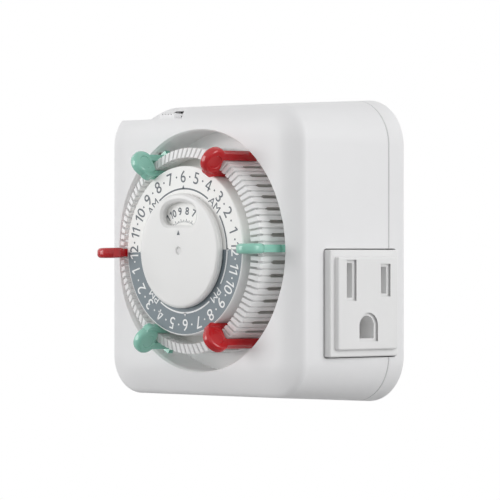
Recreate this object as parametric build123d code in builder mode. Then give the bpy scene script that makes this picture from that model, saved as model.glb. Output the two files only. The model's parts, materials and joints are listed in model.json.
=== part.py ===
"""Plug-in 24-hour mechanical timer, millimetres.

The wall is the plane y = 0 and the timer stands out of it along -y, so every "level" below is
a height above the wall. The dial turns about the y axis, +x is to the right seen from the front
and +z is up.
"""

import os
from math import atan2, cos, degrees, hypot, pi, radians, sin, tan

from build123d import *

# ---- Case: rounded outlines at the crease behind the crown and at the wall -------------------
body_depth = 39.0
crown_drop = 2.64
crown_inset = 8.4
crease_width = 73.6
crease_height = 76.5
crease_corner = 10.0
crease_radius = 2.5
side_draft = 0.07
rear_width = 76.7
rear_height = 80.1
rear_corner = 12.4
rear_edge_radius = 1.6
parting_level = 6.4
parting_chamfer = 0.25
wall = 2.2
cavity_corner = 4.0
lip_thickness = 1.2
lip_height = 2.4
fit_gap = 0.15
run_gap = 0.3

# ---- Dial well -------------------------------------------------------------------------------
well_radius = 31.83
well_ease = 0.8
well_ease_angle = 28.0
well_depth = 10.2
well_floor = 1.5
well_tube = 1.5

# ---- Dial ------------------------------------------------------------------------------------
dial_turn = 1.2
fin_count = 96
fin_outer = 27.15
fin_inner = 24.6
fin_proud = 4.75
fin_tip_slope = 24.0
fin_length = 2.6
fin_gap = 0.6
groove_width = 0.4
groove_depth = 0.45
pocket_width = 1.0
pocket_depth = 1.6
pocket_drop = 0.6
pocket_length = 7.4
drum_gap = 0.7
web_drop = 1.0
web_thickness = 1.5
plate_radius = 22.34
plate_proud = 5.45
plate_thickness = 1.3
plate_skirt = 1.4
plate_bore = 3.2
plate_edge_radius = 0.3
cap_radius = 15.1
cap_proud = 2.15
cap_edge_radius = 0.8
dimple_radius = 1.1
dimple_depth = 0.35
window_width = 12.8
window_bottom = 6.7
window_top = 12.9
window_corner = 2.8
window_sill_corner = 2.4
window_bevel = 0.8
window_bevel_depth = 0.5

# ---- Trippers --------------------------------------------------------------------------------
tripper_thickness = 2.7
tripper_head_radius = 3.7
tripper_head_reach = 30.6
tripper_head_edge = 1.0
tripper_head_proud = 7.2
tripper_head_back = 2.4
tripper_dish_radius = 1.9
tripper_dish_depth = 0.25
tripper_dish_slope = 40.0
tripper_leg_edge = 0.35
shoulder_radius = 1.9
inner_leg_thickness = 1.6
inner_leg_proud = 0.6
outer_leg_thickness = 1.9
foot_reach = 1.4
foot_height = 1.6
on_foot_drop = 3.2
off_foot_drop = 7.4
tripper_count = 6

# ---- Override switch -------------------------------------------------------------------------
recess_floor = 35.2
recess_right = -8.0
recess_depth = 13.0
recess_slope = 5.0
recess_skin = 1.2
slot_left = -26.6
slot_bottom = 36.3
slot_top = 37.9
slider_travel = 4.6
slider_knob = 6.0
slider_neck = 4.8
slider_ribs = 5
slider_rib_pitch = 1.15
slider_rib_gap = 0.5
slider_rib_depth = 0.35
slider_knob_depth = 2.6
knob_top = 37.1
slider_side = 0.75
slider_flange = 2.1
recess_side = 2.0
channel_drop = 5.0
channel_length = 9.0
channel_top = 38.0
channel_bottom = 35.3
channel_left = -31.0
channel_right = -11.0

# ---- Outlet in the right side ----------------------------------------------------------------
outlet_low = 4.0
outlet_drop = 9.63
outlet_top = 0.27
outlet_bottom = -27.62
outlet_face = 39.3
outlet_raise = 1.45
outlet_inset_level = 1.56
outlet_inset_z = 1.87
outlet_edge_radius = 0.5
outlet_corner = 0.6
outlet_gap = 0.3
outlet_flange = 1.2
outlet_flange_face = 34.4
outlet_flange_rear = 32.6
outlet_flange_gap = 0.3
blade_pitch = 12.7
ground_drop = 11.9
slots_z = -7.67
slot_width = 2.0
neutral_slot = 9.0
line_slot = 7.0
slot_chamfer = 0.75
ground_slot = 5.3
ground_slot_height = 5.9
box_rear = 20.6
box_low = 6.4
box_gap = 1.3
box_top = -1.4
box_bottom = -25.6
box_corner = 1.0
ground_pocket_ease = 1.2
blade_pocket_ease = 1.0
contact_depth = 10.2
contact_recess = 1.0
contact_flare = 2.4
contact_width = 6.2
contact_metal = 0.5
contact_mouth = 2.6
contact_pinch = 1.7
pocket_side = 1.9

# ---- Plug at the back ------------------------------------------------------------------------
plug_z = 8.0
blade_width = 6.35
blade_thickness = 1.5
blade_length = 17.5
blade_tip = 1.4
blade_hole = 3.5
blade_hole_reach = 11.7
ground_radius = 2.4
ground_length = 20.6
ground_nose = 2.2
ground_shank = 2.9
carrier_width = 23.0
carrier_top = 13.5
carrier_bottom = -8.5
carrier_height = 5.0
carrier_corner = 2.0
blade_rise = 8.4

# ---- Clock drive -----------------------------------------------------------------------------
gear_module = 0.6
gear_backlash = 0.12
dial_teeth = 60
idler_small_teeth = 12
idler_large_teeth = 48
motor_teeth = 10
gear_thickness = 2.0
gear_clearance = 0.8
idler_step = 2.8
post_radius = 2.0
post_step = 0.5
post_collar = 1.5
post_recess = 1.2
post_tail = 1.0
bore_gap = 0.06
gear_hub = 5.6
skirt_outer = 8.0
skirt_inner = 6.4
skirt_recess = 0.3
spring_rest = 2.1
spring_rise = 0.9
spring_metal = 0.3
idler_angle = 225.0
pin_radius = 1.2
pin_tail = 0.8
motor_angle = 90.0
motor_radius = 12.5
motor_clearance = 0.45
motor_offset = 9.0
motor_shaft = 0.9
motor_shaft_sink = 0.6
motor_edge_radius = 1.2
motor_bore_depth = 1.2
plate_metal = 1.6
movement_drop = 8.3
movement_left = -32.6
movement_right = 19.0
movement_half = 27.0
movement_corner = 4.0

# ---- Switch ----------------------------------------------------------------------------------
lever_x = -25.0
lever_z = 27.5
lever_hub = 2.2
lever_spread = 14.0
lever_window = 9.0
lever_arm = 1.8
on_arm_drop = 1.0
off_arm_drop = 0.4
arm_thickness = 1.6
lever_pin_radius = 1.0
lever_pin_tail = 0.5
lever_eye = 1.0
lever_socket = 1.0
lever_swing = 8.0
tail_length = 10.0
tail_angle = 228.0
contact_button = 0.9
contact_stand = 0.9
contact_foot = 3.0

# ---- Fasteners -------------------------------------------------------------------------------
case_screw_x = 30.5
case_screw_z = 32.0
case_boss = 3.1
screw_radius = 1.3
screw_head = 2.5
screw_head_height = 1.6
screw_recess = 3.4
case_screw_length = 18.0
plate_screw_length = 6.0
plate_boss = 2.5
plate_head = 2.1
plate_screw_places = [(-30.2, 10.0), (14.5, 24.5), (8.0, -24.5)]

# ---- Worked out from the sizes above ---------------------------------------------------------
crease_level = body_depth - crown_drop
floor_level = body_depth - well_depth
floor_back = floor_level - well_floor
fin_tip_level = body_depth + fin_proud
plate_level = body_depth + plate_proud
web_level = body_depth - web_drop
pocket_level = body_depth - pocket_drop
tripper_head_level = body_depth + tripper_head_proud
tripper_head_rear = tripper_head_level - tripper_head_back
inner_leg_level = body_depth + inner_leg_proud
on_foot_level = body_depth - on_foot_drop
off_foot_level = body_depth - off_foot_drop
cap_level = plate_level + cap_proud
drum_base = floor_level + drum_gap
fin_pitch = 360 / fin_count
fin_root_level = fin_tip_level - fin_length
movement_level = floor_back - movement_drop
dial_gear_level = floor_back - gear_clearance - gear_thickness
idler_level = dial_gear_level - idler_step
skirt_level = floor_back - skirt_recess
spring_level = skirt_level + spring_rest
motor_height = movement_level - fit_gap - blade_rise - motor_clearance
on_arm_level = on_foot_level - on_arm_drop
off_arm_level = off_foot_level - off_arm_drop
outlet_high = body_depth - outlet_drop
outlet_flange_high = floor_back - outlet_flange_gap
box_high = floor_back - box_gap
slots_level = (outlet_low + outlet_high) / 2
neutral_level = slots_level + blade_pitch / 2
line_level = slots_level - blade_pitch / 2
outlet_ground_z = slots_z - ground_drop
plug_ground_z = plug_z - ground_drop
outlet_front = outlet_face + outlet_raise
contact_base = outlet_flange_rear - contact_depth
contact_lip = outlet_flange_rear - contact_recess
recess_wall_front = body_depth - recess_depth
channel_front = recess_wall_front - channel_drop
channel_rear = channel_front - channel_length
slot_right = slot_left + slider_neck + slider_travel + 4 * run_gap
dial_axis = Axis((0, 0, 0), (0, -1, 0))
dial_section = Plane((0, 0, 0), x_dir=(1, 0, 0), z_dir=(0, 0, -1))


def level(height):
    """Plane parallel to the wall at a height above it; local x is +x and local y is +z."""
    return Plane.XZ.offset(height)


def radial_section(angle):
    """Plane through the dial axis: local x is the radius at this angle, local y the height."""
    outward = Vector(cos(radians(angle)), 0, sin(radians(angle)))
    return Plane((0, 0, 0), x_dir=outward, z_dir=outward.cross(Vector(0, -1, 0)))


def radial_face(radius, angle):
    """Plane square to a radius of the dial: local x is the height, its normal points outwards."""
    outward = Vector(cos(radians(angle)), 0, sin(radians(angle)))
    return Plane(outward * radius, x_dir=(0, -1, 0), z_dir=outward)


def case_outline(height, inset=0.0, mode=Mode.ADD):
    """Rounded outline of the case at a height above the wall, drawn in by an inset."""
    share = (crease_level - height) / crease_level
    width = crease_width + (rear_width - crease_width) * share
    tall = crease_height + (rear_height - crease_height) * share
    corner = crease_corner + (rear_corner - crease_corner) * share
    return RectangleRounded(width - 2 * inset, tall - 2 * inset, corner - inset, mode=mode)


def gear_outline(teeth, phase):
    """Spur gear outline with flat-flanked teeth; one tooth points along the phase angle."""
    pitch_radius = gear_module * teeth / 2
    root = pitch_radius - 1.15 * gear_module
    tip = pitch_radius + 0.9 * gear_module
    half = (pi * gear_module / 2 - gear_backlash) / 2
    flank = gear_module * 0.9 * tan(radians(22))
    sunk = 0.4 * gear_module
    base_half = half + (pitch_radius - root) * tan(radians(12))
    Circle(root)
    with Locations([Rotation(0, 0, phase + 360 / teeth * n) for n in range(teeth)]):
        Polygon(
            (root - sunk, -base_half),
            (root, -base_half),
            (pitch_radius, -half),
            (tip, -half + flank),
            (tip, half - flank),
            (pitch_radius, half),
            (root, base_half),
            (root - sunk, base_half),
            align=None,
        )


# ---- Front housing ---------------------------------------------------------------------------
with BuildPart() as case_cavity:
    with BuildSketch(level(0)):
        case_outline(0, wall)
    with BuildSketch(level(body_depth - wall)):
        case_outline(body_depth - wall, wall)
    loft()
    fillet(case_cavity.faces().sort_by(Axis.Y)[0].edges(), radius=cavity_corner)
    # the override recess and the wall around it stay solid
    with BuildSketch(Plane.XY.offset(recess_floor - recess_skin)):
        with Locations((recess_right + recess_side, -body_depth)):
            Rectangle(
                rear_width,
                2 * (body_depth - channel_front + wall),
                align=(Align.MAX, Align.CENTER),
            )
    extrude(amount=12, mode=Mode.SUBTRACT)
    # except for the channel that the slide's flange runs in
    with BuildSketch(Plane.XY.offset(channel_bottom)):
        with Locations(((channel_left + channel_right) / 2, -(channel_front + channel_rear) / 2)):
            Rectangle(channel_right - channel_left, channel_front - channel_rear)
    extrude(amount=channel_top - channel_bottom)


def crown_section(plane):
    """What the crown leaves out in front of the crease, on a plane square to the crease."""
    crown_radius = (crown_inset**2 + crown_drop**2) / (2 * crown_drop)
    crown_angle = atan2(crown_inset, crown_radius - crown_drop)
    crown_middle = (
        crown_radius * sin(crown_angle / 2) - crown_inset,
        crown_radius * (1 - cos(crown_angle / 2)) - crown_drop,
    )
    with BuildSketch(plane) as section:
        with BuildLine():
            # an arc, level at its inner end, that rolls over into the side
            ThreePointArc((0, 0), crown_middle, (-crown_inset, -crown_drop))
            Polyline(
                (-crown_inset, -crown_drop),
                (-crown_inset, -crown_drop - 1),
                (crease_radius, -crown_drop - 1),
                (crease_radius, crease_radius),
                (side_draft * crease_radius, crease_radius),
                (0, 0),
            )
        make_face()
        fillet(section.vertices().sort_by_distance((0, 0, 0))[0], radius=crease_radius)
    return section.sketch


# the crown's waste runs along the four sides and turns about the four corners
with BuildPart() as crown_waste:
    for quarter in range(4):
        outward = Vector(cos(radians(90 * quarter)), 0, sin(radians(90 * quarter)))
        onward = outward.cross(Vector(0, 1, 0))
        reach, run = [
            (crease_width / 2, crease_height / 2 - crease_corner),
            (crease_height / 2, crease_width / 2 - crease_corner),
        ][quarter % 2]
        side_start = outward * reach - onward * run + Vector(0, -crease_level, 0)
        extrude(crown_section(Plane(side_start, x_dir=outward, z_dir=onward)), amount=2 * run)
        side_end = side_start + onward * 2 * run
        revolve(
            crown_section(Plane(side_end, x_dir=outward, z_dir=onward)),
            axis=Axis(side_end - outward * crease_corner, (0, -1, 0)),
            revolution_arc=90,
        )

with BuildPart() as front_housing:
    # the edges of both shells are eased where they meet
    with BuildSketch(level(parting_level)):
        case_outline(parting_level, parting_chamfer)
    with BuildSketch(level(parting_level + parting_chamfer)):
        case_outline(parting_level + parting_chamfer)
    with BuildSketch(level(crease_level)) as crease_sketch:
        case_outline(crease_level)
    loft(ruled=True)
    extrude(crease_sketch.sketch, amount=crown_drop)
    add(crown_waste.part, mode=Mode.SUBTRACT)
    add(case_cavity.part, mode=Mode.SUBTRACT)
    # dial well: tube and floor
    with BuildSketch(level(floor_back)):
        Circle(well_radius + well_tube)
    extrude(amount=body_depth - wall / 2 - floor_back)
    with BuildSketch(level(floor_level)):
        Circle(well_radius)
    extrude(amount=well_depth, mode=Mode.SUBTRACT)
    with BuildSketch(level(floor_back)):
        Circle(skirt_outer + run_gap)
    extrude(amount=well_floor, mode=Mode.SUBTRACT)
    # the well's mouth is eased by a short cone, deepest where the crown is highest
    with BuildSketch(level(body_depth - well_ease)):
        Circle(well_radius)
    extrude(amount=2 * well_ease, taper=-well_ease_angle, mode=Mode.SUBTRACT)
    # window in the tube for the trip lever
    lever_direction = degrees(atan2(lever_z, lever_x))
    with BuildSketch(level(off_arm_level - run_gap)):
        with Locations(Rotation(0, 0, lever_direction)):
            with Locations((well_radius + well_tube / 2, 0)):
                Rectangle(2 * well_tube, lever_window)
    extrude(amount=on_arm_level + arm_thickness - off_arm_level + 2 * run_gap, mode=Mode.SUBTRACT)
    # override recess: open to the front, the top and the left, with a sloping rear wall
    with BuildSketch(Plane.YZ.offset(recess_right)):
        Polygon(
            (-body_depth - 1, recess_floor),
            (-body_depth + recess_depth, recess_floor),
            (-body_depth + recess_depth + recess_slope, recess_floor + recess_slope),
            (-body_depth - 1, recess_floor + recess_slope),
            align=None,
        )
    extrude(amount=-rear_width / 2 - recess_right - 5, mode=Mode.SUBTRACT)
    with BuildSketch(level(channel_front - run_gap)):
        with Locations(((slot_left + slot_right) / 2, (slot_bottom + slot_top) / 2)):
            SlotOverall(slot_right - slot_left, slot_top - slot_bottom)
    extrude(amount=recess_wall_front - channel_front, mode=Mode.SUBTRACT)
    # opening for the outlet face
    with BuildSketch(Plane.YZ.offset(outlet_flange_face)):
        with Locations((-slots_level, (outlet_top + outlet_bottom) / 2)):
            RectangleRounded(
                outlet_high - outlet_low + 2 * outlet_gap,
                outlet_top - outlet_bottom + 2 * outlet_gap,
                outlet_corner + outlet_gap,
            )
    extrude(amount=10, mode=Mode.SUBTRACT)
    # screw bosses of the case
    with BuildSketch(level(parting_level + 1)):
        with GridLocations(2 * case_screw_x, 2 * case_screw_z, 2, 2):
            Circle(case_boss)
    extrude(until=Until.NEXT)
    # socket in the face wall for the lever's pin
    with BuildSketch(level(body_depth - wall - 1)):
        with Locations((lever_x, lever_z)):
            Circle(lever_pin_radius + bore_gap / 2)
    extrude(amount=1 + lever_socket, mode=Mode.SUBTRACT)
    # screw bosses of the movement plate, under the well floor
    with BuildSketch(level(movement_level + plate_metal)):
        with Locations(plate_screw_places):
            Circle(plate_boss)
    extrude(until=Until.NEXT)
    with BuildSketch(level(parting_level + 1)):
        with GridLocations(2 * case_screw_x, 2 * case_screw_z, 2, 2):
            Circle(screw_radius + fit_gap)
    extrude(amount=case_screw_length, mode=Mode.SUBTRACT)
    with BuildSketch(level(movement_level + plate_metal)):
        with Locations(plate_screw_places):
            Circle(screw_radius + fit_gap)
    extrude(amount=plate_screw_length, mode=Mode.SUBTRACT)
front_housing.part.label = "front_housing"

# ---- Rear cover ------------------------------------------------------------------------------
with BuildPart() as cover_cavity:
    with BuildSketch(level(wall)):
        case_outline(wall, wall)
    with BuildSketch(level(parting_level)):
        case_outline(parting_level, wall)
    loft()

with BuildPart() as rear_cover:
    with BuildSketch(level(0)):
        case_outline(0)
    with BuildSketch(level(parting_level - parting_chamfer)):
        case_outline(parting_level - parting_chamfer)
    with BuildSketch(level(parting_level)):
        case_outline(parting_level, parting_chamfer)
    loft(ruled=True)
    fillet(rear_cover.faces().sort_by(Axis.Y)[-1].edges(), radius=rear_edge_radius)
    add(cover_cavity.part, mode=Mode.SUBTRACT)
    # lip that centres the cover in the housing
    with BuildSketch(level(parting_level - lip_height)):
        case_outline(parting_level, wall + fit_gap)
        case_outline(parting_level, wall + fit_gap + lip_thickness, mode=Mode.SUBTRACT)
    extrude(amount=2 * lip_height)
    with BuildSketch(level(parting_level)):
        with GridLocations(2 * case_screw_x, 2 * case_screw_z, 2, 2):
            Circle(case_boss + run_gap)
    extrude(amount=lip_height, mode=Mode.SUBTRACT)
    # posts under the case screws
    with BuildSketch(level(wall / 2)):
        with GridLocations(2 * case_screw_x, 2 * case_screw_z, 2, 2):
            Circle(case_boss)
    extrude(amount=parting_level + 1 - wall / 2 - fit_gap)
    with BuildSketch(level(0)):
        with GridLocations(2 * case_screw_x, 2 * case_screw_z, 2, 2):
            Circle(screw_radius + fit_gap)
    extrude(amount=body_depth / 2, mode=Mode.SUBTRACT)
    with BuildSketch(level(0)):
        with GridLocations(2 * case_screw_x, 2 * case_screw_z, 2, 2):
            Circle(screw_head + fit_gap)
    extrude(amount=screw_recess, mode=Mode.SUBTRACT)
    # openings for the plug
    with BuildSketch(level(0)):
        with Locations((-blade_pitch / 2, plug_z), (blade_pitch / 2, plug_z)):
            Rectangle(blade_thickness + 2 * fit_gap, blade_width + 2 * fit_gap)
        with Locations((0, plug_ground_z)):
            Circle(ground_shank + fit_gap)
    extrude(amount=wall, mode=Mode.SUBTRACT)
    # notch for the outlet face and its flange
    with BuildSketch(Plane.YZ.offset(outlet_flange_rear - fit_gap)):
        with Locations((-outlet_high, (outlet_top + outlet_bottom) / 2)):
            Rectangle(
                outlet_high - outlet_low + outlet_flange + fit_gap,
                outlet_top - outlet_bottom + 2 * outlet_flange + 2 * fit_gap,
                align=(Align.MIN, Align.CENTER),
            )
    extrude(amount=outlet_flange_face - outlet_flange_rear + 2 * fit_gap, mode=Mode.SUBTRACT)
    with BuildSketch(Plane.YZ.offset(outlet_flange_face)):
        with Locations((-slots_level, (outlet_top + outlet_bottom) / 2)):
            RectangleRounded(
                outlet_high - outlet_low + 2 * outlet_gap,
                outlet_top - outlet_bottom + 2 * outlet_gap,
                outlet_corner + outlet_gap,
            )
    extrude(amount=10, mode=Mode.SUBTRACT)
rear_cover.part.label = "rear_cover"

# ---- Outlet in the right side ----------------------------------------------------------------
outlet_middle = (-slots_level, (outlet_top + outlet_bottom) / 2)


def slot_outlines(grow=0.0):
    """Two blade slots and the arched ground hole, in the plane of the outlet face."""
    with Locations((-neutral_level, slots_z)):
        Rectangle(slot_width + 2 * grow, neutral_slot + 2 * grow)
    with Locations((-line_level, slots_z)):
        Rectangle(slot_width + 2 * grow, line_slot + 2 * grow)
    with Locations((-slots_level, outlet_ground_z)):
        Circle(ground_slot / 2 + grow)
    with Locations((-slots_level, outlet_ground_z)):
        Rectangle(
            ground_slot + 2 * grow,
            ground_slot_height - ground_slot / 2 + grow,
            align=(Align.CENTER, Align.MAX),
        )


with BuildPart() as receptacle_face:
    with BuildSketch(Plane.YZ.offset(outlet_flange_face - fit_gap)):
        with Locations(outlet_middle):
            RectangleRounded(outlet_high - outlet_low, outlet_top - outlet_bottom, outlet_corner)
    extrude(amount=outlet_face - outlet_flange_face + fit_gap)
    fillet(receptacle_face.faces().sort_by(Axis.X)[-1].edges(), radius=outlet_edge_radius)
    with BuildSketch(Plane.YZ.offset(outlet_face - outlet_raise)):
        with Locations(outlet_middle):
            RectangleRounded(
                outlet_high - outlet_low - 2 * outlet_inset_level,
                outlet_top - outlet_bottom - 2 * outlet_inset_z,
                outlet_corner,
            )
    extrude(amount=2 * outlet_raise)
    fillet(receptacle_face.faces().sort_by(Axis.X)[-1].edges(), radius=outlet_edge_radius)
    # flange behind the case wall; the dial well leaves it no room at the front
    with BuildSketch(Plane.YZ.offset(outlet_flange_rear)):
        with Locations((-outlet_flange_high, (outlet_top + outlet_bottom) / 2)):
            Rectangle(
                outlet_flange_high - outlet_low + outlet_flange,
                outlet_top - outlet_bottom + 2 * outlet_flange,
                align=(Align.MIN, Align.CENTER),
            )
    extrude(amount=outlet_flange_face - fit_gap - outlet_flange_rear)
    with BuildSketch(Plane.YZ.offset(outlet_flange_rear)):
        slot_outlines()
    extrude(amount=outlet_front - outlet_flange_rear, mode=Mode.SUBTRACT)
    # lead-in chamfers round the slots
    with BuildSketch(Plane.YZ.offset(outlet_front)):
        slot_outlines(slot_chamfer)
    extrude(amount=-slot_chamfer, taper=-45, mode=Mode.SUBTRACT)
receptacle_face.part.label = "receptacle_face"

with BuildPart() as contact_box:
    with BuildSketch(Plane.YZ.offset(box_rear)):
        with Locations((-(box_low + box_high) / 2, (box_top + box_bottom) / 2)):
            RectangleRounded(box_high - box_low, box_top - box_bottom, box_corner)
    extrude(amount=outlet_flange_rear - box_rear)
    with BuildSketch(Plane.YZ.offset(outlet_flange_rear)):
        with Locations((-neutral_level, slots_z), (-line_level, slots_z)):
            Rectangle(2 * pocket_side, neutral_slot + blade_pocket_ease)
        with Locations((-slots_level, outlet_ground_z)):
            Rectangle(ground_slot + ground_pocket_ease, contact_width + ground_pocket_ease)
    extrude(amount=-contact_depth - contact_metal - run_gap, mode=Mode.SUBTRACT)
    # slots that the contacts' tails leave through
    with BuildSketch(level(box_low)):
        with Locations((contact_base, slots_z), (contact_base, outlet_ground_z)):
            Rectangle(contact_metal + 2 * fit_gap, contact_width / 2 + 2 * fit_gap)
    extrude(amount=line_level - box_low, mode=Mode.SUBTRACT)
contact_box.part.label = "contact_box"


def clip_line(height, mouth):
    """Bent strip of a blade contact: two leaves that pinch the blade and flare at the mouth."""
    pinch = contact_lip - contact_flare
    Polyline(
        (contact_lip, -height - mouth / 2),
        (pinch, -height - contact_pinch / 2 - contact_metal / 2),
        (contact_base, -height - mouth / 2),
        (contact_base, -height + mouth / 2),
        (pinch, -height + contact_pinch / 2 + contact_metal / 2),
        (contact_lip, -height + mouth / 2),
    )


with BuildPart() as line_contact:
    with BuildSketch(Plane.XY.offset(slots_z)):
        with BuildLine():
            clip_line(line_level, contact_mouth)
        trace(line_width=contact_metal)
    extrude(amount=contact_width / 2, both=True)
line_contact.part.label = "line_contact"

with BuildPart() as neutral_contact:
    with BuildSketch(Plane.XY.offset(slots_z)):
        with BuildLine():
            clip_line(neutral_level, contact_mouth)
        trace(line_width=contact_metal)
    extrude(amount=contact_width / 2, both=True)
neutral_contact.part.label = "neutral_contact"

with BuildPart() as ground_contact:
    with BuildSketch(Plane.XY.offset(outlet_ground_z)):
        with BuildLine():
            Polyline(
                (contact_lip, -slots_level - ground_radius - contact_metal),
                (contact_base, -slots_level - ground_radius - contact_metal),
                (contact_base, -slots_level + ground_radius + contact_metal),
                (contact_lip, -slots_level + ground_radius + contact_metal),
            )
        trace(line_width=contact_metal)
    extrude(amount=contact_width / 2, both=True)
ground_contact.part.label = "ground_contact"

# ---- Plug at the back ------------------------------------------------------------------------
with BuildPart() as blade_carrier:
    with BuildSketch(level(wall + fit_gap)):
        with Locations((0, (carrier_top + carrier_bottom) / 2)):
            RectangleRounded(carrier_width, carrier_top - carrier_bottom, carrier_corner)
    extrude(amount=carrier_height)
    with BuildSketch(level(0)):
        with Locations((-blade_pitch / 2, plug_z), (blade_pitch / 2, plug_z)):
            Rectangle(blade_thickness + fit_gap, blade_width + fit_gap)
        with Locations((0, plug_ground_z)):
            Circle(ground_shank + fit_gap / 2)
    extrude(amount=carrier_height + 2 * wall, mode=Mode.SUBTRACT)
blade_carrier.part.label = "blade_carrier"

with BuildPart() as line_blade:
    with BuildSketch(Plane.YZ.offset(blade_pitch / 2)):
        with Locations(((blade_length - blade_rise) / 2, plug_z)):
            Rectangle(blade_length + blade_rise, blade_width)
        with Locations((blade_hole_reach, plug_z)):
            Circle(blade_hole / 2, mode=Mode.SUBTRACT)
    extrude(amount=blade_thickness / 2, both=True)
    chamfer(line_blade.faces().sort_by(Axis.Y)[-1].edges().filter_by(Axis.X), length=blade_tip)
line_blade.part.label = "line_blade"

with BuildPart() as neutral_blade:
    add(line_blade.part.moved(Location((-blade_pitch, 0, 0))))
neutral_blade.part.label = "neutral_blade"

with BuildPart() as ground_pin:
    with BuildSketch(level(-ground_length)):
        with Locations((0, plug_ground_z)):
            Circle(ground_radius)
    extrude(amount=ground_length)
    fillet(ground_pin.faces().sort_by(Axis.Y)[-1].edges(), radius=ground_nose)
    with BuildSketch(level(0)):
        with Locations((0, plug_ground_z)):
            Circle(ground_shank)
    extrude(amount=blade_rise)
ground_pin.part.label = "ground_pin"

# ---- Dial ------------------------------------------------------------------------------------
pocket_angles = [dial_turn + 2 * fin_pitch * pocket for pocket in range(fin_count // 2)]
fin_face_drop = (fin_outer - fin_inner) * tan(radians(fin_tip_slope))
with BuildPart() as dial_drum:
    with BuildSketch(dial_section):
        Polygon(
            (fin_inner, drum_base),
            (fin_outer, drum_base),
            (fin_outer, fin_tip_level - fin_face_drop),
            (fin_inner, fin_tip_level),
            align=None,
        )
        with Locations((post_radius + bore_gap, web_level)):
            Rectangle(
                fin_inner - post_radius, web_thickness, align=(Align.MIN, Align.MAX)
            )
        with Locations((skirt_inner, skirt_level)):
            Rectangle(skirt_outer - skirt_inner, web_level - skirt_level, align=Align.MIN)
        with Locations((post_radius + bore_gap, spring_level + spring_rise + bore_gap)):
            Rectangle(
                skirt_inner - post_radius - 1,
                web_level - spring_level - spring_rise - bore_gap,
                align=Align.MIN,
            )
    revolve(axis=dial_axis)
    # gaps between the fins, right through the rim
    fin_middle = (fin_inner + fin_outer) / 2
    with BuildSketch(level(fin_root_level)):
        with PolarLocations(fin_middle, fin_count, start_angle=dial_turn):
            Rectangle(2 * (fin_outer - fin_inner), fin_gap)
    extrude(amount=fin_length + 1, mode=Mode.SUBTRACT)
    # shallow grooves that carry the gaps on down the side
    with BuildSketch(level(drum_base - 1)):
        with PolarLocations(fin_outer, fin_count, start_angle=dial_turn):
            Rectangle(2 * groove_depth, groove_width)
    extrude(amount=fin_root_level - drum_base + 1, mode=Mode.SUBTRACT)
    # a pocket in every second groove, round at its front end
    with BuildSketch(*[radial_face(fin_outer - pocket_depth, angle) for angle in pocket_angles]):
        with Locations((pocket_level - pocket_length / 2, 0)):
            SlotOverall(pocket_length, pocket_width)
    extrude(amount=2 * pocket_depth, mode=Mode.SUBTRACT)
dial_drum.part.label = "dial_drum"

with BuildPart() as dial_plate:
    with BuildSketch(dial_section):
        with Locations((plate_bore, plate_level)):
            Rectangle(plate_radius - plate_bore, plate_thickness, align=(Align.MIN, Align.MAX))
        with Locations((plate_radius, web_level)):
            Rectangle(plate_skirt, plate_level - web_level, align=(Align.MAX, Align.MIN))
        with Locations((plate_bore, web_level)):
            Rectangle(plate_skirt, plate_level - web_level, align=Align.MIN)
    revolve(axis=dial_axis)
    plate_rims = dial_plate.edges().filter_by(GeomType.CIRCLE).sort_by(Axis.Y)[:2]
    fillet(plate_rims.sort_by(SortBy.RADIUS)[-1], radius=plate_edge_radius)
dial_plate.part.label = "dial_plate"


def window_outline(grow=0.0):
    """Sketch of the cap's time window on the cap's face, drawn larger all round by an amount."""
    with BuildSketch(level(cap_level)) as outline:
        with Locations((0, window_bottom)):
            Rectangle(window_width, window_top, align=(Align.CENTER, Align.MIN))
        Circle(window_top, mode=Mode.INTERSECT)
        fillet(outline.vertices().group_by(Axis.Y)[0], radius=window_sill_corner)
        fillet(outline.vertices().group_by(Axis.Y)[-1], radius=window_corner)
        if grow:
            offset(amount=grow)
    return outline.sketch


with BuildPart() as centre_cap:
    with BuildSketch(level(plate_level + run_gap)):
        Circle(cap_radius)
    extrude(amount=cap_proud - run_gap)
    fillet(centre_cap.faces().sort_by(Axis.Y)[0].edges(), radius=cap_edge_radius)
    with BuildSketch(level(web_level + 3)):
        Circle(plate_bore - run_gap)
    extrude(amount=cap_level - web_level - 4)
    with BuildSketch(level(web_level)):
        Circle(post_radius + bore_gap / 2)
    extrude(amount=cap_level - web_level - 1, mode=Mode.SUBTRACT)
    # time window: rounded, its top edge an arc about the dial axis, with a bevelled surround
    extrude(window_outline(), amount=-cap_proud, mode=Mode.SUBTRACT)
    extrude(
        window_outline(window_bevel),
        amount=-window_bevel_depth,
        taper=degrees(atan2(window_bevel, window_bevel_depth)),
        mode=Mode.SUBTRACT,
    )
    # dimple in the middle
    with BuildSketch(level(cap_level)):
        with Locations((0, 0)):
            Circle(dimple_radius)
    extrude(amount=-dimple_depth, taper=40, mode=Mode.SUBTRACT)
centre_cap.part.label = "centre_cap"


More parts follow.
